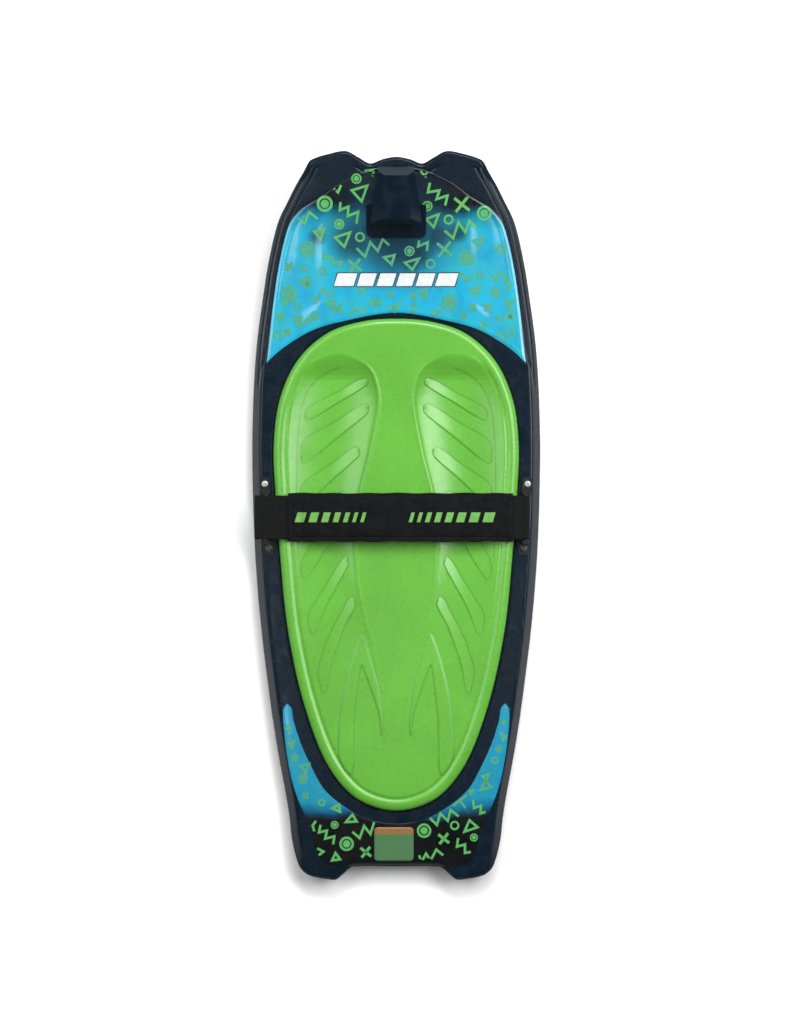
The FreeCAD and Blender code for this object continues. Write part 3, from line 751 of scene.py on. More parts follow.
def deck_surface(x, y):
    """Height of the moulded deck with its rails, rims and ledges."""
    inside = board_border.depth(x, y)
    beside_pad = -pad_border.depth(x, y)
    nose = nose_border.depth(x, y, 10)
    tail = tail_border.depth(x, y, 30)
    z = deck(y) - rail_drop(inside, y)
    for edge, rise, roll in ((nose, NOSE_PLATEAU, NOSE_ROLL), (tail, TAIL_PLATEAU, TAIL_ROLL)):
        rim = rise * smoothstep(-3.0, 5.0, edge) + roll * ridge(edge, 5.5, 3.2)
        z += rim * (1 - smoothstep(545, 590, y))
    crown = CROWN * ridge(np.abs(x), CROWN_X, CROWN_WIDTH)
    z += crown * smoothstep(0, 45, nose) * (1 - smoothstep(520, 570, y))
    forward = smoothstep(222, 245, y) * (1 - smoothstep(596, 612, y))
    inner = GROOVE + INNER_GROOVE_SHIFT * smoothstep(228, 300, y)
    grooves = GROOVE_DEPTH * ridge(inside, GROOVE, GROOVE_WIDTH)
    grooves = grooves + INNER_GROOVE_DEPTH * ridge(inside, inner, INNER_GROOVE_WIDTH)
    z -= forward * grooves
    return z - PAD_EDGE_DIP * (1 - smoothstep(0.6, 6.0, beside_pad))


def half_samples(curve, count):
    """Distances along the board's half outline, closer together round the nose and the tail."""
    run = run_of(curve)
    weight = 1 + 0.9 * smoothstep(545, 580, np.abs(curve[:, 1]))
    total = np.r_[0, np.cumsum(np.diff(run) * (weight[1:] + weight[:-1]) / 2)]
    return np.interp(np.linspace(0, total[-1], count), total, run)


def deck_loops(outer, inner, out_a, out_b):
    """Loops from the pad's edge to the board's, closer together by the pad and on the rail."""
    width = np.linalg.norm(outer - inner, axis=1)
    rail, ledge = np.minimum(RAIL_BAND, width * 0.52), np.minimum(LEDGE_BAND, width * 0.2)
    rail_end, ledge_end = outer - out_a * rail[:, None], inner + out_b * ledge[:, None]
    loops = []
    for share in np.linspace(1, 0, 8, endpoint=False)[::-1]:
        loops.append(inner + out_b * (ledge * (share - 1 / 8))[:, None])
    for share in np.linspace(0, 1, 42)[:-1]:
        loops.append(ledge_end + (rail_end - ledge_end) * share)
    for share in np.linspace(1, 0, 30):
        loops.append(outer - out_a * (rail * share)[:, None])
    return loops


def side_rings(outer, out_a, top, middle):
    """Rings from the top of the board's sides down to the belly and in to its middle line."""
    ends = end_share(outer[:, 1])
    low, thickness = belly(outer[:, 1]), deck(outer[:, 1]) - belly(outer[:, 1])
    foot = low + thickness * (SIDE_FOOT * (1 - ends) + END_FOOT * ends)
    rings = [np.c_[outer, top + (foot - top) * share] for share in (0.06, 0.5, 0.94)]
    chine = CHINE + (END_CHINE - CHINE) * ends
    for share in (0, 0.03, 0.15, 0.35, 0.6, 0.8, 0.92, 0.98, 1.04, 1.15, 1.5):
        xy = outer - out_a * (chine * share)[:, None]
        left = np.clip(1 - share, 0, 1)
        rounding = 0.02 * math.exp(-(((share - 1) / 0.1) ** 2))
        rings.append(np.c_[xy, belly(xy[:, 1]) + (foot - low) * (left + rounding)])
    last = rings[-1][:, :2]
    for share in np.linspace(0, 1, 13)[1:]:
        xy = last + (middle - last) * share
        rings.append(np.c_[xy, belly(xy[:, 1])])
    return rings


def hull():
    """Moulded skin: deck with rails and pad recess, upright sides, chines and belly in one closed mesh."""
    runs = half_samples(board_half, HALF_POINTS)
    facing = [(place, nearest_run(pad_half, pad_place)) for place, pad_place in ACROSS]
    outer = both_halves(at_run(board_half, runs))
    inner = both_halves(at_run(pad_half, between_places(board_half, runs, facing)))
    spine_y = between_places(board_half, runs, BOARD_SPINE)
    middle = both_halves(np.c_[np.zeros(HALF_POINTS), spine_y])
    out_a, out_b = softened(outward_of(outer), 5), softened(outward_of(inner), 4)
    inner = inner + out_b * 0.6
    floor = [middle + (inner - middle) * share for share in np.linspace(0, 1, 7)]
    rings = [np.c_[xy, deck(xy[:, 1]) - FLOOR_DEPTH] for xy in floor]
    rings += [np.c_[xy, deck_surface(*xy.T)] for xy in deck_loops(outer, inner, out_a, out_b)]
    rings += side_rings(outer, out_a, rings[-1][:, 2], middle)
    piece = paint(loft("hull", rings, "board"), hull_plastic)
    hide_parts("hull_shell")
    return piece


def fins():
    """Three moulded fins under the tail, thin at the edge and flared where they leave the belly."""
    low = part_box("hull_shell")[0].z / MM
    start, end, clear = -395.0, -590.0, 1.0
    half_profile = [(-8, 0), (-5.6, 0.12), (-4.4, 0.4), (-3.6, 0.8), (-2.2, 0.96)]
    profile = half_profile + [(0, 1)] + [(-x, share) for x, share in half_profile[::-1]]
    shares = np.linspace(0, 1, 40)
    rise = smoothstep(0, 0.32, shares) * smoothstep(0, 0.10, 1 - shares)
    points, faces = [], []
    for centre in (-120.0, 0.0, 120.0):
        rings = []
        for share, height in zip(shares, rise):
            y = start + (end - start) * share
            root = float(belly(np.array([y]))[0]) + 1.5
            depth = (root - clear - low) * height
            lower = [(centre + x, y, root - depth * d - 0.01) for x, d in profile]
            upper = [(centre + x, y, root + 2) for x, _ in profile[::-1]]
            rings.append(lower + upper)
        faces += tube_faces(len(rings), len(rings[0]), len(points))
        points += [p for ring in rings for p in ring]
    piece = paint(make_piece("hull_fins", points, faces, "board"), hull_plastic)
    return weld(piece, 0.001)


# ---------------------------------------------------------------- knee pad

PAD_RISE, PAD_SINK = 14.0, 4.9  # over and under the deck
ROLL_FOOT, ROLL_WIDTH, ROLL_DIP = 4.0, 13.0, 1.7
SEAM_DEPTH, LIP_HEIGHT, FORK_HEIGHT = 0.9, 0.9, 1.1
RIB_HEIGHT, RIB_SINK = 1.9, 0.8
RIB_FALL = (0.55, -0.83)  # from a rib's upper edge to its lower one, on the left
WELLS = [  # y, inner edge, outer edge, depth
    (284, 96, 108, 0), (280, 82, 122, 1.2), (274, 69, 137, 3.2), (266, 55, 152, 6.6),
    (257, 46, 162, 11.4), (248, 41, 169, 15.6), (240, 38, 173, 17.4), (228, 34.5, 177.5, 17.8),
    (212, 32, 182, 17.6), (195, 31.5, 185.5, 17.2), (170, 35, 188, 16.2), (140, 40.5, 189.5, 15.4),
    (100, 49, 189.5, 13.8), (48, 63, 188, 11.5), (-42, 72.8, 184, 8.5), (-112, 69.3, 176, 6),
    (-181, 55.4, 164, 3.6), (-223, 41.4, 152, 2.0), (-300, 30, 130, 0),
]
PANEL_LINE = [
    (-100, 261), (-118, 254), (-138, 241), (-152, 224), (-161, 205), (-167, 181), (-171, 143.5),
    (-173, 85.5), (-173.5, 30), (-173, -20), (-170, -70),
]
RIBS = [  # outlines on the left side; the last is the forked one at the tail
    [
        (-157, 170), (-148, 172), (-104, 199), (-52, 231), (-49, 237), (-54, 243), (-62, 242),
        (-104, 219), (-155, 190), (-160, 180),
    ],
    [
        (-164, 94), (-158, 95), (-104, 138), (-56, 176), (-49, 184), (-48, 194), (-54, 199), (-66, 194),
        (-110, 166), (-158, 138), (-165, 128), (-167, 108),
    ],
    [
        (-164, 22), (-156, 25), (-112, 65), (-72, 100), (-65, 108), (-64, 118), (-70, 124), (-80, 119),
        (-116, 92), (-160, 62), (-166, 52), (-167, 34),
    ],
    [
        (-164, -75), (-166, -94), (-160, -108), (-150, -98), (-119, -46), (-92, 10), (-84, 30),
        (-88, 44), (-98, 44), (-118, 12), (-142, -36),
    ],
    [
        (-88, -68), (-83, -77), (-86, -88), (-100, -114), (-125, -160), (-141, -200), (-147, -205),
        (-152, -188), (-154, -171), (-140, -145), (-118, -110), (-97, -76),
    ],
    [
        (-77, -138), (-71, -148), (-74, -161), (-88, -186), (-104, -228), (-114, -260), (-122, -302),
        (-127, -308), (-134, -284), (-136, -268), (-126, -230), (-112, -195), (-92, -158), (-84, -142),
    ],
    [
        (-60, -204), (-68, -220), (-80, -258), (-94, -321), (-100, -376), (-99, -420), (-90, -440),
        (-79, -449), (-75, -440), (-74, -400), (-73, -356), (-66, -290), (-60, -258), (-54, -272),
        (-44, -300), (-30, -345), (-25.5, -381), (-23, -368), (-26, -330), (-32, -292), (-44, -251),
        (-54, -214),
    ],
]


wells = np.array(WELLS[::-1], float).T
fork_border = Border(closed_curve(RIBS[-1]))


def well_at(y):
    """Inner edge, outer edge and depth of a knee well."""
    return [np.interp(y, wells[0], column) for column in wells[1:]]


def well_depth(x, y):
    """Scoop of a knee well at (|x|, y): steep at its nose end and inner edge, running out to the tail."""
    inner, outer, depth = well_at(y)
    share = np.clip((x - inner) / np.maximum(outer - inner, 1), 0, 1)
    return depth * np.sin(math.pi * share**0.9) ** 0.85


def well_lip(x, y):
    """Soft bead along a well's inner edge, which fades towards the tail."""
    bead = LIP_HEIGHT * ridge(x, well_at(y)[0] - 2.0, 3.0)
    return bead * smoothstep(-330, -150, y) * (1 - smoothstep(262, 282, y))


def tail_ribs(x, y):
    """Low forked rib on each side of the pad's tail."""
    return FORK_HEIGHT * smoothstep(-0.5, 2.2, fork_border.depth(-np.abs(x), y, 4))


def pad_surface(x, y):
    """Height over the deck of the pad's top."""
    inside = pad_border.depth(x, y)
    edge = np.clip(inside / ROLL_WIDTH, 0, 1)
    z = ROLL_FOOT + (PAD_RISE - ROLL_FOOT) * np.sqrt(np.clip(1 - (1 - edge) ** 2, 0, 1))
    sides = 1 - smoothstep(240, 300, y)
    z -= ROLL_DIP * smoothstep(ROLL_WIDTH, ROLL_WIDTH + 7, inside) * sides
    z -= SEAM_DEPTH * ridge(inside, ROLL_WIDTH + 8, 1.8) * sides
    z += 0.8 * ROLL_DIP * smoothstep(ROLL_WIDTH + 8, ROLL_WIDTH + 13, inside) * sides
    z -= well_depth(np.abs(x), y) * smoothstep(15, 26, inside)
    z += well_lip(np.abs(x), y)
    return z + tail_ribs(x, y)


def pad_top(x, y):
    return deck(y) + pad_surface(x, y)


def rib_rows(rib, columns, shares):
    """Rows of points across a rib, from its upper edge to its lower one, and the distance v along it."""
    fall = np.array(RIB_FALL)
    along = np.array([-fall[1], fall[0]])
    loop = closed_curve(rib)
    v = loop @ along
    loop = np.roll(loop, -np.argmin(v), axis=0)
    top = np.argmax(loop @ along)
    chains = [loop[: top + 1], np.vstack([loop[top:], loop[:1]])[::-1]]
    chains.sort(key=lambda chain: np.mean(chain @ fall))
    v = np.linspace(v.min() + 0.3, v.max() - 0.3, columns)
    edges = []
    for chain in chains:
        order = np.argsort(chain @ along)
        edges.append(np.interp(v, (chain @ along)[order], (chain @ fall)[order]))
    rows = []
    for share in shares:
        u = edges[0] + (edges[1] - edges[0]) * share
        rows.append((np.outer(u, fall) + np.outer(v, along)) / (fall @ fall))
    return rows, v


def pad_ribs():
    """Ribs in the knee wells. Each climbs slowly from its nose edge and ends in a step at its tail edge."""
    columns = 48
    shares = [0.0, 0.15, 0.3, 0.45, 0.6, 0.75, 0.88, 0.96, 1.0]
    climb = [-0.06, 0.10, 0.26, 0.43, 0.60, 0.78, 0.93, 1.0, 0.86]
    points, faces = [], []
    for rib in RIBS[:-1]:
        rows, v = rib_rows(rib, columns, shares)
        fade = 0.45 + 0.55 * smoothstep(v.min(), v.min() + 40, v)
        lift = np.concatenate([RIB_HEIGHT * height * fade for height in climb])
        for side in (1, -1):
            flat = np.vstack(rows) * (side, 1)
            ground = pad_top(*flat.T)
            faces += slab_faces(len(shares), columns, len(points))
            points += np.c_[flat, ground + lift].tolist() + np.c_[flat, ground - RIB_SINK].tolist()
    piece = make_piece("knee_pad_ribs", points, faces, "board")
    crease(weld(piece, 0.001), 35)
    paint(piece, foam_green)


def pad_lines():
    """Fine raised lines: round the ribbed floor of each well and round each rib. Their darker foam is
    painted shade, standing in for the shadow in a moulded groove.
    """
    panel_width, rib_width, height = 1.5, 1.4, 0.42
    strokes = []
    for side in (1, -1):
        panel = through(PANEL_LINE, steps=4) * (side, 1)
        strokes.append((panel.tolist(), panel_width, False))
        for rib in RIBS:
            outline = closed_curve(rib)[::4] * (side, 1)
            strokes.append((outline.tolist(), rib_width, True))
    piece = drawn("knee_pad_lines", strokes, shaded_line_foam, pad_top, "board", height)


def knee_pad():
    """Moulded foam pad with its rolled edge, wells and forked ribs, in one closed mesh."""
    half = evenly(pad_half, HALF_POINTS)
    loop = both_halves(half)
    spine_y = between_places(half, run_of(half), PAD_SPINE)
    middle = both_halves(np.c_[np.zeros(HALF_POINTS), spine_y])
    outward = softened(outward_of(loop), 4)
    edge_band = 24.0
    top = [loop - outward * edge_band * share**1.5 for share in np.linspace(0, 1, 20)]
    top += [top[-1] + (middle - top[-1]) * share for share in np.linspace(0, 1, 86)[1:]]
    foot = [middle + (loop - middle) * share for share in np.linspace(0, 1, 5)]
    rings = [np.c_[xy, deck(xy[:, 1]) - PAD_SINK] for xy in foot]
    rings.append(np.c_[loop, deck(loop[:, 1]) - 1.0])
    rings += [np.c_[xy, pad_top(*xy.T)] for xy in top]
    piece = paint(loft("knee_pad_foam", rings, "board"), foam_green)
    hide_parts("knee_pad")
    return piece


# ---------------------------------------------------------------- films and marks


FILM_LIFT, LABEL_LIFT = 0.45, 0.85  # of the top faces over the deck
INK_FOOT = 0.43  # ink starts just under the film's top face
FILM_THICKNESS, INK = 0.5, 0.22


def film_piece(name, one_edge, other_edge, material, node):
    """Thin sheet ruled between two edges, over the moulded deck."""
    half_count, rows = 150, 70
    a, b = evenly(one_edge, half_count), evenly(other_edge, half_count)
    a, b = (np.vstack([edge[:0:-1] * (-1, 1), edge]) for edge in (a, b))
    share = np.linspace(0, 1, rows)
    share = 0.5 * share + 0.5 * smoothstep(0, 1, share)
    flat = np.vstack([a + (b - a) * s for s in share])
    points = np.c_[flat, deck_surface(*flat.T) + FILM_LIFT]
    piece = make_piece(name, points, grid_faces(rows, len(a), False), "board")
    weld(piece, 0.01)
    if piece.data.polygons[len(piece.data.polygons) // 2].normal.z < 0:
        piece.data.flip_normals()
    add_modifier(piece, "SOLIDIFY", thickness=FILM_THICKNESS * MM, offset=-1)
    paint(piece, material)
    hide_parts(node)
    return piece


def across_of(steps):
    """Directions square to steps, to their left."""
    return np.c_[-steps[:, 1], steps[:, 0]]


def ribbon(points, width, surface, closed, thickness):
    """Points and faces of a line of ink along (x, y) points, lying on a surface."""
    path = np.array(points + points[:1] if closed else points, float)
    line = []
    for a, b in zip(path, path[1:]):
        steps = max(1, int(np.linalg.norm(b - a) / 5))
        line += [a + (b - a) * k / steps for k in range(steps)]
    line = np.array(line if closed else line + [path[-1]])
    if closed:
        before, after = line - np.roll(line, 1, 0), np.roll(line, -1, 0) - line
    else:
        step = np.diff(line, axis=0)
        before, after = np.vstack([step[:1], step]), np.vstack([step, step[-1:]])
    before /= np.linalg.norm(before, axis=1)[:, None]
    after /= np.linalg.norm(after, axis=1)[:, None]
    across = across_of(before + after)
    across /= np.linalg.norm(across, axis=1)[:, None] + 1e-9
    reach = width / 2 / np.clip(np.einsum("ij,ij->i", across, across_of(after)), 0.45, 1)
    left, right = line + across * reach[:, None], line - across * reach[:, None]
    rows = []
    for xy, lift in ((left, 0), (left, thickness), (right, thickness), (right, 0)):
        rows.append(np.c_[xy, surface(*xy.T) + lift])
    cloud = np.stack(rows, axis=1).reshape(-1, 3)
    count = len(line)
    if not closed:
        return cloud, tube_faces(count, 4)
    last = (count - 1) * 4
    closing = [[last + k, last + (k + 1) % 4, (k + 1) % 4, k] for k in range(4)]
    return cloud, grid_faces(count, 4, True) + closing


def circle(x, y, radius):
    turns = np.linspace(0, 2 * math.pi, 29)[:-1]
    return [(x + radius * math.cos(t), y + radius * math.sin(t)) for t in turns]


def drawn(name, strokes, material, surface, body, thickness=INK):
    """One piece from many (points, width, closed) strokes."""
    points, faces = [], []
    for path, width, closed in strokes:
        cloud, quads = ribbon(path, width, surface, closed, thickness)
        faces += [[i + len(points) for i in quad] for quad in quads]
        points += cloud.tolist()
    piece = make_piece(name, points, faces, body, smooth=False)
    edit(piece, turn_outward)
    return paint(piece, material)


def disc_strokes(x, y, radius):
    """Plain disc with a ring round it."""
    ring = (circle(x, y, radius * 0.84), radius * 0.32, True)
    disc = (circle(x, y, radius * 0.26), radius * 0.5, True)
    return [ring, disc]


def cross_strokes(x, y, size, turn, width):
    arms = []
    for angle in (turn, turn + math.pi / 2):
        dx, dy = size * math.cos(angle), size * math.sin(angle)
        arms.append(([(x - dx, y - dy), (x + dx, y + dy)], width, False))
    return arms


def pattern(discs, rings, triangles, crosses, zigzags, angles):
    """Strokes from (x, y, radius) discs and rings, (x, y, size) crosses and the corners of the rest."""
    line = 4.2
    strokes = []
    for x, y, radius in discs:
        strokes += disc_strokes(x, y, radius)
    strokes += [(circle(x, y, radius), line * 0.8, True) for x, y, radius in rings]
    strokes += [(corners, line, True) for corners in triangles]
    for x, y, size in crosses:
        strokes += cross_strokes(x, y, size, 0.9, line * 1.2)
    strokes += [(corners, line, False) for corners in zigzags + angles]
    return strokes


NOSE_PATTERN = dict(
    discs=[
        (-69, 587, 9), (-99, 509, 9), (23, 463, 9), (54, 540, 9), (-124, 544, 14), (-154, 466, 14),
        (122, 451, 14), (153, 528, 13), (-186, 389, 14), (92, 374, 14), (-142, 351, 8), (172, 392, 9),
        (-60, 394, 6),
    ],
    rings=[
        (-63, 487, 7), (91, 517, 7), (60, 441, 7), (28, 364, 6), (-42, 374, 5), (-127, 428, 6),
        (-206, 318, 6.5), (199, 322, 6.5), (-172, 368, 5.5), (152, 334, 5), (118, 352, 5),
        (-10, 388, 5), (-160, 434, 5), (146, 420, 5),
    ],
    triangles=[
        [(-77, 567), (-50, 575), (-60, 548)], [(-143, 496.5), (-125, 501.5), (-131, 483)],
        [(-106.5, 486), (-80, 495), (-90, 470)], [(-21, 452), (-3, 456), (-8, 440)],
        [(15, 443), (40, 450), (28, 431)], [(52, 518), (74, 526), (65, 504)],
        [(133, 481), (151, 485), (144, 468)], [(171, 468), (190, 475), (186, 458)],
        [(-15, 365), (8, 373), (-2, 358)], [(-168, 413), (-152, 418), (-158, 402)],
        [(188, 374), (204, 378), (198, 362)], [(-180, 345), (-165, 350), (-170, 334)],
        [(128, 396), (146, 401), (139, 386)], [(-122, 374), (-106, 378), (-112, 364)],
        [(62, 357), (76, 361), (70, 349)], [(-207, 352), (-196, 356), (-200, 343)],
    ],
    crosses=[
        (-72, 438, 15), (84, 466, 17), (114, 543, 17), (48.5, 389, 11), (-102, 363, 11), (160, 366, 9),
        (-187, 436, 9), (-155, 405, 8), (-32, 374, 8), (199, 350, 8), (-190, 322, 8), (134, 366, 7),
        (30, 384, 7),
    ],
    zigzags=[
        [(-96.5, 547), (-98, 533), (-83, 539), (-84, 523), (-66, 530), (-69, 510)],
        [(-171, 520), (-159, 510), (-151, 530), (-136, 518)],
        [(-69, 468), (-54, 453), (-45, 478), (-32, 463), (-23.5, 483), (-12, 473)],
        [(-125, 463), (-127, 450), (-111, 453), (-112, 441), (-95.5, 445), (-99, 429.5)],
        [(40, 481), (38, 471), (55, 478), (53.5, 463)],
        [(58.5, 580), (55, 563.5), (75, 567), (70, 552), (89, 558), (85, 541)],
        [(84, 498), (99, 485), (108, 512), (120, 495), (127, 515), (140.5, 503)],
        [(-82, 352), (-72, 364), (-64, 352), (-54, 366)],
        [(172, 312), (182, 322), (188, 308), (198, 300)],
        [(-136, 388), (-126, 398), (-118, 384), (-108, 396)],
        [(162, 424), (172, 412), (180, 426), (192, 414)], [(-200, 382), (-192, 370), (-186, 384)],
        [(104, 416), (116, 424), (122, 410), (134, 420)], [(-148, 384), (-140, 374), (-132, 386)],
        [(-170, 345), (-162, 335), (-154, 347), (-148, 338)],
        [(196, 420), (188, 410), (200, 404), (192, 394)], [(174, 352), (182, 342), (188, 354)],
    ],
    angles=[
        [(-55, 600), (-38, 602), (-41, 591)], [(-108, 570), (-101, 563.5), (-95.5, 576)],
        [(42, 600), (51, 591), (54, 598)],
    ],
)
TAIL_PATTERN = dict(
    discs=[
        (-107.5, -537, 7), (135.6, -559, 7), (-86.6, -570, 12.7), (48.6, -547, 12.7), (-163, -456, 9),
        (-177, -420, 7), (179, -404, 6.5),
    ],
    rings=[
        (102, -538, 6.5), (-188, -368, 4.5), (-130, -498, 5), (172, -424, 5),
    ],
    triangles=[
        [(-88, -532), (-76.5, -519), (-69, -531)], [(-112, -599), (-106, -586), (-98, -597)],
        [(119, -549), (128, -529), (142, -541)], [(147, -476), (155, -460), (166, -471)],
        [(-188, -394), (-178, -391), (-182, -402)], [(-112, -508), (-100, -502), (-98, -514)],
        [(183, -378), (192, -382), (186, -389)], [(-167, -434), (-152, -431), (-158, -445)],
        [(150, -452), (162, -448), (157, -460)],
    ],
    crosses=[
        (-53, -584.5, 12), (83, -561, 12), (188, -358, 4.5), (-158, -486, 6), (132, -480, 6),
    ],
    zigzags=[
        [(-132, -537), (-135, -550), (-121, -547), (-124, -561), (-108, -557), (-110, -571)],
        [(-76.5, -549), (-64, -560), (-56, -539), (-45, -553), (-38.5, -532)],
        [(59, -525), (71, -537), (77, -517), (90, -530), (95, -511), (109, -522)],
        [(134, -493), (136, -507.5), (148, -503), (147, -517), (156, -514)],
        [(108, -560), (106, -575), (120, -571), (120, -586), (130, -584)],
        [(40, -590), (44, -602), (52, -587), (60, -599), (70, -580), (82, -590)],
    ],
    angles=[
        [(-140, -530), (-146, -538), (-143, -548)], [(-138, -578), (-127, -583.5), (-135, -590)],
        [(99, -504), (123, -485)], [(110, -493), (121, -507.5)],
    ],
)


def above_film(x, y):
    return deck_surface(np.asarray(x), np.asarray(y)) + INK_FOOT


def deck_marks():
    """Generic shapes printed on the films. Those nearer the board's end than a limit are brighter."""
    films = (("nose_marks", "nose_film", NOSE_PATTERN, 478), ("tail_marks", "tail_film", TAIL_PATTERN, 505))
    for name, slot, table, limit in films:
        bright, pale = [], []
        for stroke in pattern(**table):
            y = np.mean([point[1] for point in stroke[0]])
            (bright if abs(y) > limit else pale).append(stroke)
        drawn(name, bright, bright_ink, above_film, "board")
        drawn(name + "_pale", pale, muted_ink, above_film, "board")


def slanted_bar(x, y, half_width, half_height, slant):
    """Closed (x, y) outline of a bar that leans towards +X at its nose end."""
    return [
        (x - half_width - slant, y - half_height), (x + half_width - slant, y - half_height),
        (x + half_width + slant, y + half_height), (x - half_width + slant, y + half_height),
    ]


def filled(name, outlines, material, surface, body, thickness=INK, sunk=0.05):
    """One piece of flat four-sided shapes that lie on a surface."""
    rows, columns = 13, 9
    points, faces = [], []
    for corners in outlines:
        a, b, c, d = np.array(corners, float)
        spots = []
        for v in np.linspace(0, 1, rows):
            for u in np.linspace(0, 1, columns):
                spots.append((a * (1 - u) + b * u) * (1 - v) + (d * (1 - u) + c * u) * v)
        flat = np.array(spots)
        z = surface(*flat.T)
        faces += slab_faces(rows, columns, len(points))
        points += np.c_[flat, z + thickness].tolist() + np.c_[flat, z - sunk].tolist()
    piece = make_piece(name, points, faces, body, smooth=False)
    edit(piece, turn_outward)
    return paint(piece, material)


def deck_bars():
    """Plain slanted bars with a dark edge, where the deck carries its white print."""
    places = [(-88, 17), (-51, 14), (-17, 14), (17, 14), (51, 14), (88, 17)]
    y, half_height, slant, edge = 413.5, 11.0, 3.5, 1.8

    def higher(x, y):
        return above_film(x, y) + INK

    dark = [slanted_bar(x, y, half + edge, half_height + edge, slant) for x, half in places]
    white = [slanted_bar(x, y, half, half_height, slant) for x, half in places]
    filled("deck_bar_edges", dark, dark_ink, above_film, "board")
    filled("deck_bars", white, white_ink, higher, "board")


def label():
    """Blank label with rounded corners and a plain band of colour along its nose end."""
    low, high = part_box("blank_label")
    centre = ((low + high) / 2) / MM
    half = ((high - low) / 2) / MM
    columns, rows, radius = 24, 20, 5.0
    points = []
    for v in np.linspace(-1, 1, rows):
        y = v * half.y
        corner = max(0.0, abs(y) - (half.y - radius))
        reach = half.x - radius + math.sqrt(max(radius**2 - corner**2, 0.0))
        for u in np.linspace(-1, 1, columns):
            points.append((centre.x + u * reach, centre.y + y))
    flat = np.array(points)
    z = deck_surface(*flat.T) + LABEL_LIFT
    piece = make_piece("blank_label_print", np.c_[flat, z], grid_faces(rows, columns, False), "board")
    add_modifier(piece, "SOLIDIFY", thickness=FILM_THICKNESS * MM, offset=-1)
    paint(piece, label_print, band_print)
    band_foot = (centre.y + half.y * 0.62) * MM
    for face in piece.data.polygons:
        face.material_index = int(face.center.y > band_foot)
    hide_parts("blank_label")
    return piece


# ---------------------------------------------------------------- strap

BAND_HALF, WEBBING = 38.0, 2.3
BAND_LINE = [
    (-246, 69.8), (-222, 69.8), (-199.85, 69.8), (-180, 70.6), (-120, 77), (-60, 83), (0, 85.5), (60, 84),
    (120, 79), (175, 73.2), (203, 70.8), (216, 68.4), (224, 65.9),
]
BAR_TURN = [
    (228.5, 64.9), (231.4, 61.4), (230.8, 57.2), (227.4, 54.7), (222.8, 56.2), (219, 60.6), (213, 65.6),
    (204, 68.3),
]
SLEEVE_START, SLEEVE_END = -188.0, 203.0
SLEEVE_VOXEL = 2.6
SWELL_FRAMES, SWELL_PRESSURE, SWELL_CAP = 20, 4, 1.6
MOUTH_LENGTH = 7

band_line = through(BAND_LINE)


def band_z(x):
    return np.interp(x, band_line[:, 0], band_line[:, 1])


def strap_webbing():
    """Long webbing from the pull tab over the board and round the right bar, sewn back under itself."""
    path = evenly(through(BAND_LINE + BAR_TURN), 260)
    half_webbing = WEBBING / 2
    section = flat_section(BAND_HALF, -half_webbing, half_webbing, edge=0.9, columns=30, bead=0.25)
    piece = sweep("thigh_strap_webbing", path, section, None, wave=0.12)
    paint(piece, webbing)
    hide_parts("strap_band", "pull_tab")
    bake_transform(piece)
    return piece


def inflate(piece, pinned, pressure, cap):
    """Swells a closed cloth piece with pressure and keeps the result. No point moves further than cap."""
    rest = points_of(piece.data)
    group = piece.vertex_groups.new(name="seam")
    group.add([int(i) for i in np.nonzero(pinned(rest))[0]], 1.0, "REPLACE")
    cloth = add_modifier(piece, "CLOTH")
    cloth.settings.use_pressure = True
    cloth.settings.uniform_pressure_force = pressure
    cloth.settings.effector_weights.gravity = 0
    cloth.settings.vertex_group_mass = "seam"
    cloth.settings.quality = 6
    cloth.settings.tension_stiffness = 12
    cloth.settings.shrink_min = -0.035
    cloth.point_cache.frame_end = SWELL_FRAMES
    scene = bpy.context.scene
    for step in range(1, SWELL_FRAMES + 1):
        scene.frame_set(step)
    moved = points_of(piece.evaluated_get(bpy.context.evaluated_depsgraph_get()).to_mesh()) - rest
    piece.modifiers.remove(cloth)
    scene.frame_set(1)
    far = np.linalg.norm(moved, axis=1)
    scale = np.where(far > 1e-6, cap * np.tanh(far / cap) / np.maximum(far, 1e-6), 0)
    move_points(piece.data, rest + moved * scale[:, None])


def keep_evaluated(piece):
    """Turns a piece's modifiers into its own mesh."""
    graph = bpy.context.evaluated_depsgraph_get()
    mesh = bpy.data.meshes.new_from_object(piece.evaluated_get(graph))
    piece.modifiers.clear()
    piece.data = mesh
    shade_smooth(mesh)


def at_sleeve_seams(points):
    """True by the hems and the mouths, where the cover is sewn down."""
    x, y, _ = points.T
    sewn_side, sewn_end = 33.5, 5
    at_ends = (x < SLEEVE_START + sewn_end) | (x > SLEEVE_END - sewn_end)
    return (np.abs(y) > sewn_side) | at_ends


def padded_sleeve():
    """Padded tube round the webbing, swollen between its two hems."""
    x = np.linspace(SLEEVE_START + 1.5, SLEEVE_END - 1.5, 90)
    section = flat_section(half=38.0, low=-4.7, high=3.2, edge=1.5, columns=34, power=16)
    piece = sweep("strap_sleeve", np.c_[x, band_z(x)], section, None)
    add_modifier(piece, "REMESH", mode="VOXEL", voxel_size=SLEEVE_VOXEL * MM, use_smooth_shade=True)
    keep_evaluated(piece)
    inflate(piece, at_sleeve_seams, SWELL_PRESSURE, SWELL_CAP)
    pucker(piece)
    add_modifier(piece, "SUBSURF", levels=1, render_levels=1)
    keep_evaluated(piece)
    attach(piece, "sleeve")
    paint(piece, sleeve_fabric)
    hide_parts("sleeve_cover")
    return piece


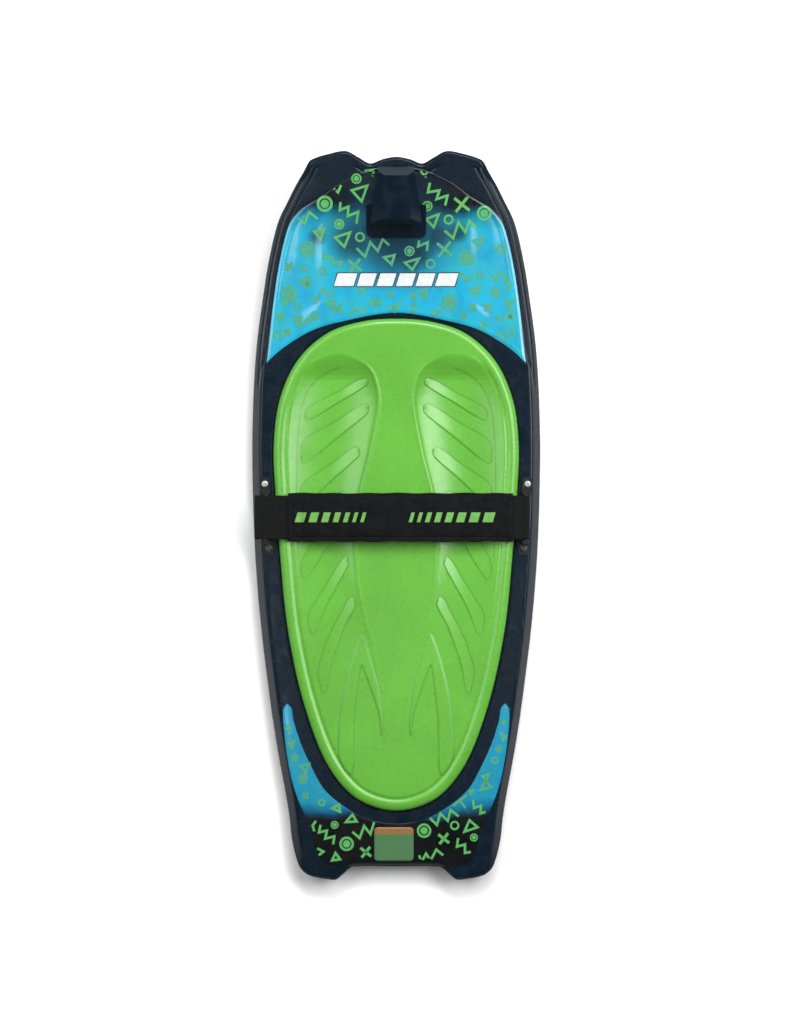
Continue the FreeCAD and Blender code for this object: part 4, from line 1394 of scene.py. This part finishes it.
def pucker(piece):
    """Small gathers where the cover is drawn into its hems, and slow waves along it."""
    points = points_of(piece.data)
    x, y, z = points.T
    near_hem = smoothstep(18, 34, np.abs(y)) * (1 - smoothstep(34, 36, np.abs(y)))
    side = np.where(y > 0, 1.7, 0.4)
    gathers = np.sin(x / 3.1 + side) * np.sin(x / 11.3 + 2 * side) * 0.45 * near_hem
    slow = 0.5 * np.sin(x / 27 + side) * np.sin(y / 13 + x / 61)
    points[:, 2] += np.where(z > band_z(x) - 1, gathers + slow, 0)
    move_points(piece.data, points)


def hem(name, side):
    """Bound edge along one side of the sleeve, a little wavy."""
    x = np.linspace(SLEEVE_START, SLEEVE_END, 150)
    middle, sunk, thickness = side * 37.7, 0.7, 4.6
    low, high = -thickness / 2, thickness / 2
    section = flat_section(4.5, low, high, edge=1.0, columns=8, centre=middle, bead=0.12)
    piece = sweep(name, np.c_[x, band_z(x) - sunk], section, "sleeve")
    points = points_of(piece.data)
    along = points[:, 0]
    wave = 0.55 * np.sin(along / 9 + side) + 0.35 * np.sin(along / 23 + 2 * side)
    points[:, 1] += wave * side * np.clip((np.abs(points[:, 1]) - 34) / 8, 0, 1)
    points[:, 2] += 0.35 * np.sin(along / 15 + side * 2)
    move_points(piece.data, points)
    return piece


def mouth(name, x_from, x_to):
    """Binding round one end of the sleeve."""
    x = np.linspace(x_from, x_to, 6)
    section = flat_section(half=42.0, low=-5.6, high=3.9, edge=2.0, columns=40, power=24)
    return sweep(name, np.c_[x, band_z(x)], section, "sleeve")


def hems():
    pieces = [
        hem("hem_rear", -1),
        hem("hem_front", 1),
        mouth("mouth_left", SLEEVE_START, SLEEVE_START + MOUTH_LENGTH),
        mouth("mouth_right", SLEEVE_END - MOUTH_LENGTH, SLEEVE_END),
    ]
    for piece in pieces:
        paint(piece, binding)
    return pieces


def surface_of(*pieces):
    """Height of the highest of some pieces over a point, by casting rays down on them."""
    graph = bpy.context.evaluated_depsgraph_get()
    trees = [BVHTree.FromObject(piece, graph) for piece in pieces]
    down, start_level = Vector((0, 0, -1)), 0.2

    def height(x, y):
        result = []
        for a, b in zip(np.atleast_1d(x), np.atleast_1d(y)):
            start = Vector((a * MM, b * MM, start_level))
            hits = [tree.ray_cast(start, down)[0] for tree in trees]
            tops = [hit.z / MM for hit in hits if hit]
            result.append(max(tops) if tops else float(band_z(a)))
        return np.array(result)

    return height


# One stitch: (place along it, plumpness) of its rings, and (place across it, height) of each ring's points
STITCH_RINGS = ((-0.5, 0.35), (-0.3, 0.9), (0.3, 0.9), (0.5, 0.35))
STITCH_ARCH = ((-0.5, 0), (-0.35, 0.75), (0, 1), (0.35, 0.75), (0.5, 0))


def stitches(name, lines, surface, body):
    """Rows of thread: small rounded lozenges along (x, y) lines."""
    length, gap, width, rise, sunk = 3.2, 1.5, 0.9, 0.45, 0.12
    points, faces = [], []
    for start, end in lines:
        start, end = np.array(start, float), np.array(end, float)
        total = np.linalg.norm(end - start)
        along = (end - start) / total
        across = np.array([-along[1], along[0]])
        for k in range(int(total / (length + gap))):
            middle = start + along * (k * (length + gap) + length / 2)
            spots, lifts = [], []
            for share, plump in STITCH_RINGS:
                for side, lift in STITCH_ARCH:
                    spots.append(middle + along * share * length + across * side * width * plump)
                    lifts.append(lift * plump * rise - sunk)
            z = surface(*np.array(spots).T) + np.array(lifts)
            faces += tube_faces(len(STITCH_RINGS), len(STITCH_ARCH), len(points))
            points += np.c_[np.array(spots), z].tolist()
    piece = make_piece(name, points, faces, body)
    edit(piece, turn_outward)
    return paint(piece, thread)


def sleeve_details(sleeve, hem_pieces):
    """Stitching round the sleeve, and two rows of slanted bars on its top."""
    top = surface_of(sleeve, *hem_pieces)
    rows = [((SLEEVE_START + 8, y), (SLEEVE_END - 8, y)) for y in (-35.2, 35.2)]
    mouths = [((x, -33), (x, 33)) for x in (SLEEVE_START + 5.5, SLEEVE_END - 5.5)]
    stitches("sleeve_stitching", rows + mouths, top, "sleeve")
    half_height, slant, gap = 8.5, 2.5, 8
    bars = []
    for x, half_widths in ((-174, (8, 7, 6, 5, 4, 3, 3)), (24, (3, 3, 4, 5, 6, 7, 8, 9))):
        for half in half_widths:
            bars.append(slanted_bar(x + half, 0, half, half_height, slant))
            x += 2 * half + gap
    piece = filled("sleeve_bars", bars, strap_ink, top, "sleeve", thickness=0.4, sunk=0.02)
    return piece


def strap_stitching():
    """Box-stitched doubling at the right bar, and the rows that hold the tape under the pull tab."""

    def band_top(x, _):
        return band_z(np.atleast_1d(x)) + WEBBING / 2

    right = [((x, -35), (x, 35)) for x in (209.4, 215.4)] + [((209.6, y), (215.2, y)) for y in (-34, 34)]
    left = [((x, -35), (x, 35)) for x in (-241, -211)] + [((-241, y), (-211, y)) for y in (-35, 35)]
    stitches("bar_stitching", right, band_top, "strap")
    stitches("tab_stitching", left, band_top, "pull_tab")


# ---------------------------------------------------------------- pieces kept from the frame


def keep(node, material, bevel=0.6, segments=2, angle=35):
    """CAD piece with rounded edges and its own material."""
    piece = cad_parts[node]
    paint(piece, material)
    bpy.context.view_layer.objects.active = piece
    bpy.ops.mesh.customdata_custom_splitnormals_clear()
    shade_smooth(piece.data)
    add_modifier(piece, "WELD", merge_threshold=1e-5)
    if bevel:
        add_modifier(
            piece, "BEVEL", width=bevel * MM, segments=segments, limit_method="ANGLE",
            angle_limit=math.radians(angle), harden_normals=True, use_clamp_overlap=True,
        )
    return piece


def kept_pieces():
    keep("tow_hook", hook_plastic, 1.5, 3, 20)
    for side in ("left", "right"):
        keep(f"{side}_strap_bracket", bracket_plastic, 0.8)
        keep(f"{side}_bracket_screws", steel, 0.25)
        keep(f"{side}_bracket_washers", dark_steel, 0.2)
        keep(f"{side}_threaded_inserts", brass, 0.3)
    keep("anchor_loop", webbing, 0.5)
    keep("loop_tape", loops, 0.3)
    keep("hook_tape", hooks, 0.3)
    keep("fill_plug", plug_plastic, 0.4)
    keep("vent_plug", plug_plastic, 0.4)
    keep("plug_gaskets", gasket_rubber, 0.2)
    keep("foam_core", core_foam, 0)
    keep("sleeve_foam", strap_foam, 0)


# ---------------------------------------------------------------- studio


def area_light(name, place, target, size, power):
    data = bpy.data.lights.new(name, "AREA")
    data.shape = "RECTANGLE"
    data.size, data.size_y = size
    data.energy = power
    light = bpy.data.objects.new(name, data)
    bpy.context.scene.collection.objects.link(light)
    light.location = place
    light.rotation_euler = (Vector(target) - Vector(place)).to_track_quat("-Z", "Y").to_euler()


def studio_floor():
    side, level = 30.0, -0.0004
    corners = [(x * side, y * side, level) for x, y in ((-1, -1), (1, -1), (1, 1), (-1, 1))]
    mesh = bpy.data.meshes.new("floor")
    mesh.from_pydata(corners, [], [(0, 1, 2, 3)])
    floor = bpy.data.objects.new("floor", mesh)
    bpy.context.scene.collection.objects.link(floor)
    look = Look("floor", roughness=0.85, specular=0.1)
    look.set("Base Color", look.mix(look.noise(900, 2), (0.93, 0.93, 0.93), (0.955, 0.955, 0.955)))
    paint(floor, look.material)


def studio_world():
    """Soft light that is brighter from the horizon than from above."""
    world = bpy.data.worlds.new("studio")
    bpy.context.scene.world = world
    world.use_nodes = True
    tree = world.node_tree
    place = tree.nodes.new("ShaderNodeTexCoord")
    split = tree.nodes.new("ShaderNodeSeparateXYZ")
    ramp = tree.nodes.new("ShaderNodeValToRGB")
    background = tree.nodes["Background"]
    horizon, zenith = ramp.color_ramp.elements
    horizon.position, horizon.color = 0.0, (1, 1, 1, 1)
    zenith.position, zenith.color = 0.9, (0.10, 0.10, 0.105, 1)
    tree.links.new(place.outputs["Generated"], split.inputs[0])
    tree.links.new(split.outputs[2], ramp.inputs[0])
    tree.links.new(ramp.outputs[0], background.inputs["Color"])
    background.inputs["Strength"].default_value = 0.5


def studio_camera():
    """Camera straight above the board, at the distance that fits it in the picture."""
    data = bpy.data.cameras.new("camera")
    data.lens = 110
    data.clip_start, data.clip_end = 0.1, 60
    camera = bpy.data.objects.new("camera", data)
    bpy.context.scene.collection.objects.link(camera)
    frame_height, object_level = 1.787, 0.05
    camera.location = (0.0066, 0.0092, object_level + frame_height * data.lens / data.sensor_width)
    bpy.context.scene.camera = camera


def studio():
    bpy.context.scene.view_settings.view_transform = "Standard"
    studio_floor()
    studio_world()
    area_light("key", (0.5, 4.4, 4.9), (0, 0, 0), (3.0, 2.0), 285)
    area_light("right_box", (2.5, 1.3, 3.9), (0, 0, 0), (3.0, 2.2), 185)
    area_light("left_box", (-2.5, 1.3, 3.9), (0, 0, 0), (3.0, 2.2), 92)
    area_light("left_strip", (-0.48, -0.43, 4.06), (-0.48, 0.4, 0.06), (0.18, 0.5), 2.3)
    area_light("right_strip", (0.48, -0.39, 4.06), (0.48, 0.4, 0.06), (0.16, 0.34), 1.5)
    studio_camera()


# ---------------------------------------------------------------- making

hull()
fins()
knee_pad()
pad_ribs()
pad_lines()
film_piece("nose_film_print", nose_top, nose_arch, nose_print, "nose_graphic")
film_piece("tail_film_print", tail_inner, tail_outer, tail_print, "tail_graphic")
deck_marks()
deck_bars()
label()
sleeve = padded_sleeve()
hem_pieces = hems()
sleeve_details(sleeve, hem_pieces)
strap_webbing()
strap_stitching()
kept_pieces()
studio()
